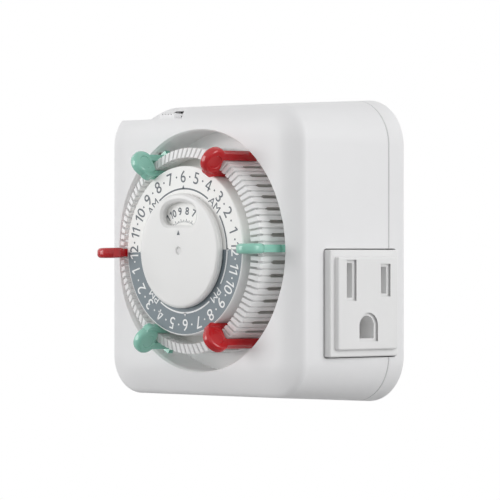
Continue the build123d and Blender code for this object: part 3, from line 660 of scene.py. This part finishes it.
def face_middles_mm(piece: bpy.types.Object) -> np.ndarray:
    """Find the middle of each of a piece's faces.

    Args:
        piece: the piece, before its modifiers.

    Returns:
        One point for each face, in millimetres.
    """
    middles = np.zeros(len(piece.data.polygons) * 3)
    piece.data.polygons.foreach_get("center", middles)
    return middles.reshape(-1, 3) / MM


def radius_and_level(points: np.ndarray) -> tuple[np.ndarray, np.ndarray]:
    """Distance of points from the dial's axis, and their height above the wall."""
    return np.hypot(points[:, 0], points[:, 2]), -points[:, 1]


def dress_part(piece: bpy.types.Object, finish: bpy.types.Material, chosen: np.ndarray) -> None:
    """Give the chosen faces of a dressed piece a second finish."""
    piece.data.materials.append(finish)
    piece.data.polygons.foreach_set("material_index", chosen.astype(np.int32))


def glyphs(text: str, height_mm: float, narrow: float, bold: float) -> Outline:
    """Outline text as flat shapes, centred on their own middle.

    Args:
        text: the characters.
        height_mm: the height of a figure.
        narrow: how wide the characters are, as a share of the font's own width.
        bold: how far the strokes are widened on each side, as a share of the font's size.

    Returns:
        Points whose x runs along the text, y up it and z out of it, in metres, and faces.
    """
    curve = bpy.data.curves.new("glyphs", "FONT")
    curve.body = text
    curve.align_x = "CENTER"
    curve.resolution_u = CURVE_STEPS
    curve.offset = bold
    curve.space_character = LETTER_SPACE
    holder = bpy.data.objects.new("glyphs", curve)
    bpy.context.scene.collection.objects.link(holder)
    bpy.context.view_layer.update()
    mesh = bpy.data.meshes.new_from_object(holder)
    points = np.zeros(len(mesh.vertices) * 3)
    mesh.vertices.foreach_get("co", points)
    points = points.reshape(-1, 3)
    faces = [tuple(face.vertices) for face in mesh.polygons]
    bpy.data.objects.remove(holder)
    bpy.data.curves.remove(curve)
    bpy.data.meshes.remove(mesh)
    low, high = points.min(0), points.max(0)
    points -= (low + high) / 2
    scale = height_mm * MM / (high[1] - low[1])
    points *= (scale * narrow, scale, 1.0)
    return points, faces


def stroke_figure(figure: str, height_mm: float) -> Outline:
    """Draw a figure from its strokes, centred on its own middle.

    Args:
        figure: a figure of STROKES.
        height_mm: its height.

    Returns:
        Points with x along the text, y up it and z out of it, in metres, and faces.
    """
    points = np.concatenate(STROKES[figure])
    ends = np.cumsum([len(stroke) for stroke in STROKES[figure]])
    faces = [tuple(range(end - len(stroke), end)) for end, stroke in zip(ends, STROKES[figure])]
    return np.column_stack([points, np.zeros(len(points))]) * height_mm * MM, faces


def numeral(text: str, height_mm: float, narrow: float, bold: float) -> Outline:
    """Set figures side by side, centred on their own middle.

    Each figure is moved along the text until its left edge stands one gap past the right edge of
    the figure before it.

    Args:
        text: the figures.
        height_mm: the height of a figure.
        narrow: how wide the figures are, as a share of the font's own width.
        bold: how far the font's strokes are widened on each side, as a share of its size.

    Returns:
        Points with x along the text, y up it and z out of it, in metres, and faces.
    """
    gap = FIGURE_GAP * height_mm * MM
    rows, faces, right, count = [], [], -gap, 0
    for figure in text:
        if figure in STROKES:
            shape = stroke_figure(figure, height_mm)
        else:
            shape = glyphs(figure, height_mm, narrow, bold)
        points = shape[0] + (right + gap - shape[0][:, 0].min(), 0.0, 0.0)
        rows.append(points)
        faces += [tuple(count + i for i in face) for face in shape[1]]
        right, count = points[:, 0].max(), count + len(points)
    return np.concatenate(rows) - (right / 2, 0.0, 0.0), faces


def strip(radius_mm: float, width_mm: float, start_deg: float, end_deg: float) -> Outline:
    """Flat arc about the dial's axis, as a strip of quads.

    A point is at the middle radius plus or minus half the width, in the direction of its angle,
    which is counter-clockwise from the top.

    Args:
        radius_mm: the arc's middle radius.
        width_mm: its width.
        start_deg: where it starts.
        end_deg: where it ends, past its start.

    Returns:
        Points with x to the right, y up and z out of the dial, in metres, and faces.
    """
    steps = int((end_deg - start_deg) / ARC_STEP_DEG)
    angles = np.radians(np.linspace(start_deg, end_deg, steps + 1))
    out = np.stack([-np.sin(angles), np.cos(angles), np.zeros_like(angles)], 1)
    inner = out * (radius_mm - width_mm / 2) * MM
    outer = out * (radius_mm + width_mm / 2) * MM
    count = steps + 1
    faces = [(i, i + 1, count + i + 1, count + i) for i in range(steps)]
    return np.concatenate([inner, outer]), faces


def disc(radius_mm: float, sides: int) -> Outline:
    """Flat regular polygon about its own middle, its corners evenly spaced on a circle.

    Args:
        radius_mm: the circle's radius.
        sides: how many sides it has.

    Returns:
        Points in metres, and one face.
    """
    angles = np.linspace(0, 2 * np.pi, sides, endpoint=False)
    points = np.stack([np.cos(angles), np.sin(angles), np.zeros(sides)], 1) * radius_mm * MM
    return points, [tuple(range(sides))]


class MarkSheet:
    """Gathers flat marks on a dial into one thin printed layer."""

    def __init__(self, level: float, lift_mm: float = 0.03) -> None:
        """Start an empty layer.

        Args:
            level: the y of the surface that is printed on, in metres.
            lift_mm: how thick the ink is.
        """
        self.level = level
        self.lift = lift_mm * MM
        self.points: list[np.ndarray] = []
        self.faces: list[tuple[int, ...]] = []
        self.count = 0

    def put(self, shape: Outline, radius_mm: float, angle_deg: float) -> None:
        """Place a flat shape with its top outwards.

        The shape's x turns to the direction across the radius and its y to the radius itself, at
        the angle counter-clockwise from the top.

        Args:
            shape: points and faces, x across, y outwards.
            radius_mm: where its middle lies.
            angle_deg: the angle counter-clockwise from the top.
        """
        points, faces = shape
        angle = math.radians(angle_deg)
        across = np.array([math.cos(angle), 0.0, math.sin(angle)])
        outward = np.array([-math.sin(angle), 0.0, math.cos(angle)])
        placed = points[:, :1] * across + (points[:, 1:2] + radius_mm * MM) * outward
        placed[:, 1] = self.level
        self.points.append(placed)
        self.faces += [tuple(self.count + i for i in face) for face in faces]
        self.count += len(points)

    def build(self, name: str) -> bpy.types.Object:
        """Join the marks and give them the ink's thickness towards the front.

        Args:
            name: the piece's name.

        Returns:
            The printed layer as one piece.
        """
        piece = add_piece(name, np.concatenate(self.points), self.faces, smooth=False)
        work = bmesh.new()
        work.from_mesh(piece.data)
        bmesh.ops.remove_doubles(work, verts=work.verts, dist=SPECK_MM * MM)
        top = bmesh.ops.extrude_face_region(work, geom=list(work.faces))
        lifted = [v for v in top["geom"] if isinstance(v, bmesh.types.BMVert)]
        bmesh.ops.translate(work, verts=lifted, vec=(0, -self.lift, 0))
        bmesh.ops.recalc_face_normals(work, faces=work.faces)
        work.to_mesh(piece.data)
        work.free()
        return piece


# ---- The timer -----------------------------------------------------------------------------------


@dataclass
class Case:
    """Front housing, rear cover, outlet face and override slide, moulded in off-white."""

    # ABS from a sparked mould: an even satin, with shade painted into its parting lines and small
    # gaps.
    abs_shell: MouldedPlastic = MouldedPlastic(
        "moulded_abs_off_white",
        "#EEEEEF",
        roughness=0.4,
        crevice_shade=0.6,
        crevice_shade_mm=0.5,
        translucency=0.2,
        depth_mm=1.5,
    )
    # A lighter copy of the ABS for the well's inner walls: painted light, so they look paler in
    # their shade.
    well_painted_light: MouldedPlastic = MouldedPlastic("moulded_abs_painted_light_in_well", "#FDFDFD", roughness=0.4)
    # Nylon takes heat better than ABS: a touch whiter and smoother, so steps catch a soft gleam.
    # A little shade is painted into its narrow gaps.
    nylon: MouldedPlastic = MouldedPlastic(
        "moulded_nylon_off_white",
        "#ECECEC",
        roughness=0.36,
        grain_mm=0.3,
        crevice_shade=0.15,
        crevice_shade_mm=0.8,
    )
    # A lighter copy of the nylon for the walls of the slots: painted light, so they stay pale in
    # their shade.
    slot_painted_light: MouldedPlastic = MouldedPlastic(
        "moulded_nylon_painted_light_in_slots", "#F6F6F6", roughness=0.4
    )
    well_radius_mm: float = 32.2
    well_floor_mm: float = 28.5
    slot_rim_mm: float = 40.05
    slots_low_mm: tuple[float, float] = (6.5, -25.0)
    slots_high_mm: tuple[float, float] = (27.0, -2.5)
    side_on: float = 0.5

    def in_slots(self, outlet: bpy.types.Object) -> np.ndarray:
        """Tell which of the outlet's faces are the walls of its slots and ground hole.

        A face is a wall where its middle lies within the panel's box and below its face, and where
        it doesn't look outwards.

        Args:
            outlet: the outlet's face, before its modifiers.

        Returns:
            A true or false for each face.
        """
        middles = face_middles_mm(outlet)
        outward = np.zeros(len(middles) * 3)
        outlet.data.polygons.foreach_get("normal", outward)
        place = np.column_stack([-middles[:, 1], middles[:, 2]])
        inside = ((place > self.slots_low_mm) & (place < self.slots_high_mm)).all(1)
        below = middles[:, 0] < self.slot_rim_mm
        return inside & below & (np.abs(outward[::3]) < self.side_on)

    def build(self) -> None:
        """Dress the shells and the parts that sit in them."""
        shell = self.abs_shell.build()
        face = self.nylon.build()
        housing = smooth_skin("front_housing", EdgeBreak.SOFT)
        dress(housing, shell, "case")
        # The well's inner walls take the lighter copy of the ABS: painted light.
        radius, level = radius_and_level(face_middles_mm(housing))
        in_well = (radius < self.well_radius_mm) & (level > self.well_floor_mm)
        dress_part(housing, self.well_painted_light.build(), in_well)
        dress(smooth_skin("rear_cover", EdgeBreak.FINE), shell, "case")
        outlet = smooth_skin("receptacle_face", EdgeBreak.CRISP)
        dress(outlet, face, "case")
        # The slots' walls take the lighter copy of the nylon: painted light.
        dress_part(outlet, self.slot_painted_light.build(), self.in_slots(outlet))
        dress(smooth_skin("override_slider", EdgeBreak.CRISP), shell, "override")


@dataclass
class Dial:
    """Finned drum, printed number disc and the fixed cap with its window."""

    # Acetal: waxy and slightly see-through, so the fins' edges glow and their gaps stay soft.
    # A little shade is painted into the gaps.
    acetal: MouldedPlastic = MouldedPlastic(
        "moulded_acetal_white",
        "#FAFAFA",
        roughness=0.32,
        translucency=0.25,
        depth_mm=0.8,
        crevice_shade=0.12,
        crevice_shade_mm=1.4,
    )
    # A grey and duller copy of the acetal deep in the pockets: painted shade, a warm mid grey.
    shaded_acetal: MouldedPlastic = MouldedPlastic(
        "moulded_acetal_in_shade", "#D2D1CE", roughness=0.5
    )
    # ABS disc printed slate on its lower half: matt colour with a thin bare rim.
    disc_print: HalfPrint = HalfPrint(
        name="printed_abs_disc",
        colour="#FBFBF9",
        night="#7A868D",
        bare="#E9EAEA",
        turn_deg=DISC_TURN_DEG,
        inner_mm=14.5,
        outer_mm=21.95,
    )
    # Screen ink: grey on the white half and white on the slate half, a little raised.
    ink: HalfPrint = HalfPrint(
        name="screen_print_ink",
        colour="#59626A",
        night="#F4F5F5",
        bare="#59626A",
        turn_deg=DISC_TURN_DEG,
        inner_mm=14.5,
        outer_mm=23.0,
    )
    # The same ink in one colour, for the inner ring and the pointer.
    dark_ink: ScreenPrint = ScreenPrint(name="screen_print_dark", colour="#59626A")
    # ABS from a polished mould: smooth and thin, with soft edges where light passes through.
    cap_abs: MouldedPlastic = MouldedPlastic(
        "moulded_abs_pale_grey",
        "#ECECEB",
        roughness=0.3,
        grain_mm=0.6,
        grain_depth_mm=0.003,
        translucency=0.8,
        depth_mm=2.0,
    )
    turn_deg: float = DISC_TURN_DEG
    hours_per_turn: int = 24
    hours_per_half: int = 12
    hour_at_top: int = 6
    number_radius_mm: float = 19.55
    number_height_mm: float = 3.15
    number_narrow: float = 1.02
    number_bold: float = 0.002
    dot_radius_mm: float = 0.26
    dot_sides: int = 14
    arc_radius_mm: float = 16.35
    arc_width_mm: float = 0.42
    arc_half_deg: float = 35.0
    arc_side_deg: float = 33.0
    half_radius_mm: float = 16.7
    half_height_mm: float = 2.1
    half_narrow: float = 1.12
    half_bold: float = -0.001
    half_marks: tuple[tuple[float, str], ...] = ((45, "AM"), (-45, "AM"), (135, "PM"), (-135, "PM"))
    flag_mm: float = 0.95
    time_at_mark: float = 8.42
    time_radius_mm: float = 10.5
    time_height_mm: float = 2.05
    time_bold: float = 0.02
    tick_radius_mm: float = 7.5
    tick_width_mm: float = 0.16
    tick_lengths_mm: tuple[float, ...] = (0.95, 0.4, 0.65, 0.4)
    pointer_z_mm: float = 4.75
    pointer_mm: float = 1.25
    pointer_half: float = 0.46
    drum_sharp_deg: float = 30.0
    fin_root_mm: float = 41.3
    root_share: float = 0.25
    pocket_radius_mm: float = 26.6
    pocket_low_mm: float = 31.0
    pocket_high_mm: float = 38.45

    def hour_name(self, past_one: int) -> str:
        """Name the hour that is a number of hours after one o'clock."""
        return str(past_one % self.hours_per_half + 1)

    def print_hours(self, level: float) -> bpy.types.Object:
        """Print the outer ring: hours, dots between them, arcs, flags and day halves.

        Args:
            level: the y of the disc's face, in metres.

        Returns:
            The printed layer as one piece.
        """
        sheet = MarkSheet(level)
        pitch = 360 / self.hours_per_turn
        for step in range(self.hours_per_turn):
            angle = self.turn_deg + pitch * step
            hour = self.hour_name(self.hour_at_top - 1 + step)
            figures = numeral(hour, self.number_height_mm, self.number_narrow, self.number_bold)
            dot = disc(self.dot_radius_mm, self.dot_sides)
            sheet.put(figures, self.number_radius_mm, angle)
            sheet.put(dot, self.number_radius_mm, angle + pitch / 2)
        flag = np.array([(-0.5, 0, 0), (0.5, 0, 0), (0, 1, 0)]) * self.flag_mm * MM
        for quarter in range(4):
            sheet.put((flag, [(0, 1, 2)]), self.arc_radius_mm, self.turn_deg + 90 * quarter)
        sweeps = [(middle - self.arc_half_deg, middle + self.arc_half_deg) for middle in (0, 180)]
        for side in (90, 270):
            sweeps += [(side - self.arc_side_deg, side), (side, side + self.arc_side_deg)]
        for start, end in sweeps:
            sheet.put(strip(self.arc_radius_mm, self.arc_width_mm, start, end), 0, self.turn_deg)
        for angle, half in self.half_marks:
            letters = glyphs(half, self.half_height_mm, self.half_narrow, self.half_bold)
            sheet.put(letters, self.half_radius_mm, self.turn_deg + angle)
        return sheet.build("hour_print")

    def print_time_ring(self, level: float) -> bpy.types.Object:
        """Print the inner ring that the cap's window shows.

        Args:
            level: the y of the disc's face, in metres.

        Returns:
            The printed layer as one piece.
        """
        sheet = MarkSheet(level)
        pitch = 360 / self.hours_per_turn
        for step in range(self.hours_per_turn):
            angle = (step + 1 - self.time_at_mark) * pitch
            hour = self.hour_name(step)
            figures = numeral(hour, self.time_height_mm, self.number_narrow, self.time_bold)
            sheet.put(figures, self.time_radius_mm, angle)
            for count, length_mm in enumerate(self.tick_lengths_mm):
                tick = np.array([(-1, 0, 0), (1, 0, 0), (1, 1, 0), (-1, 1, 0)])
                tick = tick * (self.tick_width_mm / 2 * MM, length_mm * MM, 1.0)
                tick_angle = angle + pitch * count / len(self.tick_lengths_mm)
                sheet.put((tick, [(0, 1, 2, 3)]), self.tick_radius_mm, tick_angle)
        return sheet.build("time_ring_print")

    def print_pointer(self, level: float) -> bpy.types.Object:
        """Print the small triangle on the cap that the time ring is read at.

        Args:
            level: the y of the cap's face, in metres.

        Returns:
            The printed layer as one piece.
        """
        sheet = MarkSheet(level)
        half = self.pointer_half
        mark = np.array([(-half, -0.5, 0), (half, -0.5, 0), (0, 0.5, 0)]) * self.pointer_mm * MM
        sheet.put((mark, [(0, 1, 2)]), self.pointer_z_mm, 0)
        return sheet.build("cap_pointer")

    def edge_share(self, middles: np.ndarray) -> np.ndarray:
        """Give the fins' tips their whole radius, and the drum's other edges a small share."""
        return np.where(middles[:, 1] < -self.fin_root_mm * MM, 1.0, self.root_share)

    def paint_pocket_shade(self, drum: bpy.types.Object) -> None:
        """Paint shade on the floors and walls of the drum's pockets with the grey copy of the
        acetal.

        A face is in a pocket where its middle lies nearer the axis than the drum's outside by the
        pocket's rim, and between the pockets' ends.

        Args:
            drum: the dressed drum.
        """
        radius, level = radius_and_level(face_middles_mm(drum))
        inside = (radius < self.pocket_radius_mm) & (level > self.pocket_low_mm)
        dress_part(drum, self.shaded_acetal.build(), inside & (level < self.pocket_high_mm))

    def build(self) -> None:
        """Dress the drum, the disc and the cap and print them."""
        ink, dark_ink = self.ink.build(), self.dark_ink.build()
        disc_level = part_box("dial_plate")[0].y
        cap_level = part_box("centre_cap")[0].y
        drum = smooth_skin("dial_drum", EdgeBreak.ROUND, self.drum_sharp_deg, self.edge_share)
        dress(drum, self.acetal.build(), "dial")
        # The pockets get the grey copy of the acetal: painted shade.
        self.paint_pocket_shade(drum)
        dress(
            smooth_skin("dial_plate", EdgeBreak.NONE), self.disc_print.build(), "dial"
        )
        dress(smooth_skin("centre_cap", EdgeBreak.FINE), self.cap_abs.build(), "case")
        dress(self.print_hours(disc_level), ink, "dial")
        dress(self.print_time_ring(disc_level), dark_ink, "dial")
        dress(self.print_pointer(cap_level), dark_ink, "case")


@dataclass
class Trippers:
    """Pull-off clips, mint green to switch on and red to switch off."""

    # Dyed acetal from a polished mould: glossy and waxy, light enough to glow at its edges.
    on_acetal: MouldedPlastic = MouldedPlastic(
        "moulded_acetal_mint",
        "#90CDBB",
        roughness=0.2,
        grain_mm=0.9,
        grain_depth_mm=0.012,
        coat=0.5,
        translucency=0.35,
        depth_mm=1.5,
    )
    # The same acetal in a deep red, which lets much less light through.
    off_acetal: MouldedPlastic = MouldedPlastic(
        "moulded_acetal_red",
        "#C20A16",
        roughness=0.2,
        grain_mm=0.9,
        grain_depth_mm=0.012,
        coat=0.25,
        translucency=0.1,
        depth_mm=0.8,
    )
    pairs: int = 3

    def build(self) -> None:
        """Dress all the clips."""
        for kind, finish in (("on", self.on_acetal.build()), ("off", self.off_acetal.build())):
            for number in range(1, self.pairs + 1):
                node = f"tripper_{kind}_{number}"
                piece = smooth_skin(node, EdgeBreak.FINE)
                dress(piece, finish, node + "_clip")


@dataclass
class Works:
    """Plug, contacts, gears and fasteners, most of them out of sight inside the case."""

    # Brass, stamped and tumbled: warm yellow, with fine streaks that soften what it mirrors.
    brass: RolledMetal = RolledMetal("stamped_brass", "#D2BE7E", roughness=0.28)
    # Spring bronze: redder and duller than the brass of the blades.
    bronze: RolledMetal = RolledMetal("stamped_bronze", "#C7A25A", roughness=0.34)
    # Bright rolled steel: cool grey with streaks along the sheet.
    steel: RolledMetal = RolledMetal("rolled_steel", "#B4B7BA", roughness=0.3)
    # Phenolic that stands heat and arcs: nearly black and dull.
    phenolic: MouldedPlastic = MouldedPlastic("moulded_phenolic_dark", "#3A3D40", roughness=0.5)
    # Undyed acetal of the gears: milky with a yellow cast.
    natural: MouldedPlastic = MouldedPlastic("moulded_acetal_natural", "#D9D6CC", roughness=0.35)

    def build(self) -> None:
        """Dress every node that shows outside, and give the hidden ones their finish in place."""
        finishes = {
            "blade_brass": self.brass.build(),
            "contact_metal": self.bronze.build(),
            "steel": self.steel.build(),
            "inner_plastic": self.phenolic.build(),
            "gear": self.natural.build(),
        }
        for node in BLADES:
            dress(smooth_skin(node, EdgeBreak.FINE), finishes["blade_brass"], "case")
        dress(smooth_skin("case_screws", EdgeBreak.CRISP), finishes["steel"], "case")
        for subpart in frame["record"]["subparts"]:
            node, slot = subpart["node"], subpart["material_slot"]
            if slot in finishes and node not in (*BLADES, "case_screws"):
                materials = frame["nodes"][node].data.materials
                materials.clear()
                materials.append(finishes[slot])


@dataclass(frozen=True)
class SoftLamp:
    """Square soft lamp that points at the timer."""

    name: str
    place_mm: tuple[float, float, float]
    size_mm: float
    watts: float
    aim_mm: tuple[float, float, float] = (0.0, -20.0, 0.0)

    def hang(self) -> None:
        """Hang the lamp at its place, turned so that it shines at its aim."""
        lamp = bpy.data.lights.new(self.name, "AREA")
        lamp.shape = "SQUARE"
        lamp.size = self.size_mm * MM
        lamp.energy = self.watts
        holder = bpy.data.objects.new(self.name, lamp)
        bpy.context.scene.collection.objects.link(holder)
        place = Vector(self.place_mm) * MM
        holder.location = place
        way = Vector(self.aim_mm) * MM - place
        holder.rotation_euler = way.to_track_quat("-Z", "Y").to_euler()


@dataclass
class Studio:
    """Pale floor, even surroundings, soft lamps and the camera."""

    lamps: tuple[SoftLamp, ...] = (
        SoftLamp("side_lamp", (950, 200, 300), 600, 3.9),
        SoftLamp("front_lamp", (-800, -1000, 250), 700, 5.9),
    )
    azimuth_deg: float = 46.84
    distance_mm: float = 1013.8
    lens_mm: float = 276.3
    aside_mm: float = 13.39
    above_mm: float = 0.205
    sensor_mm: float = 36.0
    near_mm: float = 50.0
    floor_mm: float = -95.0
    floor_half_mm: float = 4000.0
    floor_colour: str = "#D0D0D0"
    ambient: float = 0.71
    zenith: float = 0.7
    bounces: int = 16
    diffuse_bounces: int = 10

    def light_world(self) -> None:
        """Light the scene from all round, and show pure white where nothing stands.

        The strength is the ambient level times a factor that falls evenly from 1 at the horizon to
        the zenith's share straight up. Rays from the camera and mirrored rays meet plain white.
        """
        world = bpy.data.worlds.new("studio")
        bpy.context.scene.world = world
        world.use_nodes = True
        tree = world.node_tree
        tree.nodes.clear()
        path = add_node(tree, "ShaderNodeLightPath")
        seen = add_node(
            tree,
            "ShaderNodeMath",
            settings={"operation": "MAXIMUM"},
            inputs={0: path.outputs["Is Camera Ray"], 1: path.outputs["Is Glossy Ray"]},
        )
        strength = add_node(
            tree,
            "ShaderNodeMapRange",
            inputs={"Value": seen.outputs["Value"], "To Min": self.ambient, "To Max": 1.0},
        )
        way = add_node(tree, "ShaderNodeTexCoord").outputs["Generated"]
        upward = add_node(tree, "ShaderNodeSeparateXYZ", inputs={"Vector": way})
        dimmed = add_node(
            tree,
            "ShaderNodeMapRange",
            inputs={"Value": upward.outputs["Z"], "To Min": 1.0, "To Max": self.zenith},
        )
        shade = add_node(
            tree,
            "ShaderNodeMath",
            settings={"operation": "MAXIMUM"},
            inputs={0: dimmed.outputs["Result"], 1: seen.outputs["Value"]},
        )
        even = add_node(
            tree,
            "ShaderNodeMath",
            settings={"operation": "MULTIPLY"},
            inputs={0: strength.outputs["Result"], 1: shade.outputs["Value"]},
        )
        light = add_node(
            tree,
            "ShaderNodeBackground",
            inputs={"Color": (1.0, 1.0, 1.0, 1.0), "Strength": even.outputs["Value"]},
        )
        add_node(
            tree, "ShaderNodeOutputWorld", inputs={"Surface": light.outputs["Background"]}
        )

    def lay_floor(self) -> None:
        """Lay a matt pale floor that lights the timer from below.

        It shows as plain white from above, and is clear from below, so the underside can be seen.
        """
        half = self.floor_half_mm * MM
        corners = np.array([(-1, -1), (1, -1), (1, 1), (-1, 1)]) * half
        points = np.column_stack([corners, np.full(4, self.floor_mm * MM)])
        floor = add_piece("studio_floor", points, [(0, 1, 2, 3)], smooth=False)
        material, tree = new_material("studio_floor_white")
        path = add_node(tree, "ShaderNodeLightPath")
        paper = add_node(
            tree,
            "ShaderNodeBsdfDiffuse",
            inputs={"Color": linear(self.floor_colour), "Roughness": 1.0},
        )
        white = add_node(
            tree, "ShaderNodeEmission", inputs={"Color": (1.0, 1.0, 1.0, 1.0), "Strength": 1.0}
        )
        clear = add_node(tree, "ShaderNodeBsdfTransparent")
        underside = add_node(tree, "ShaderNodeNewGeometry").outputs["Backfacing"]
        seen = add_node(
            tree,
            "ShaderNodeMixShader",
            inputs={0: underside, 1: white.outputs["Emission"], 2: clear.outputs["BSDF"]},
        )
        shader = add_node(
            tree,
            "ShaderNodeMixShader",
            inputs={
                0: path.outputs["Is Camera Ray"],
                1: paper.outputs["BSDF"],
                2: seen.outputs["Shader"],
            },
        )
        add_node(
            tree, "ShaderNodeOutputMaterial", inputs={"Surface": shader.outputs["Shader"]}
        )
        floor.data.materials.append(material)

    def set_camera(self) -> None:
        """Stand the camera at its distance in front of the face, level with the dial's axis."""
        azimuth = math.radians(self.azimuth_deg)
        front = Vector((0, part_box("front_housing")[0].y, 0))
        towards = Vector((math.sin(azimuth), -math.cos(azimuth), 0))
        right = Vector((math.cos(azimuth), math.sin(azimuth), 0))
        camera = bpy.data.cameras.new("camera")
        camera.lens = self.lens_mm
        camera.sensor_width = self.sensor_mm
        camera.clip_start = self.near_mm * MM
        holder = bpy.data.objects.new("camera", camera)
        bpy.context.scene.collection.objects.link(holder)
        holder.location = front + towards * self.distance_mm * MM
        aim = front + right * self.aside_mm * MM + Vector((0, 0, self.above_mm * MM))
        look = aim - holder.location
        holder.rotation_euler = look.to_track_quat("-Z", "Y").to_euler()
        bpy.context.scene.camera = holder

    def build(self) -> None:
        """Set up the whole studio."""
        self.light_world()
        self.lay_floor()
        for lamp in self.lamps:
            lamp.hang()
        self.set_camera()
        scene = bpy.context.scene
        scene.view_settings.view_transform = "Standard"
        scene.cycles.max_bounces = self.bounces
        scene.cycles.diffuse_bounces = self.diffuse_bounces


def main() -> None:
    """Build the timer's looks in order, then the studio round it."""
    logging.basicConfig(level=logging.INFO, format="%(name)s: %(message)s")
    for part in (Case(), Dial(), Trippers(), Works(), Studio()):
        part.build()
        log.info("%s done", type(part).__name__)


if __name__ == "__main__":
    main()
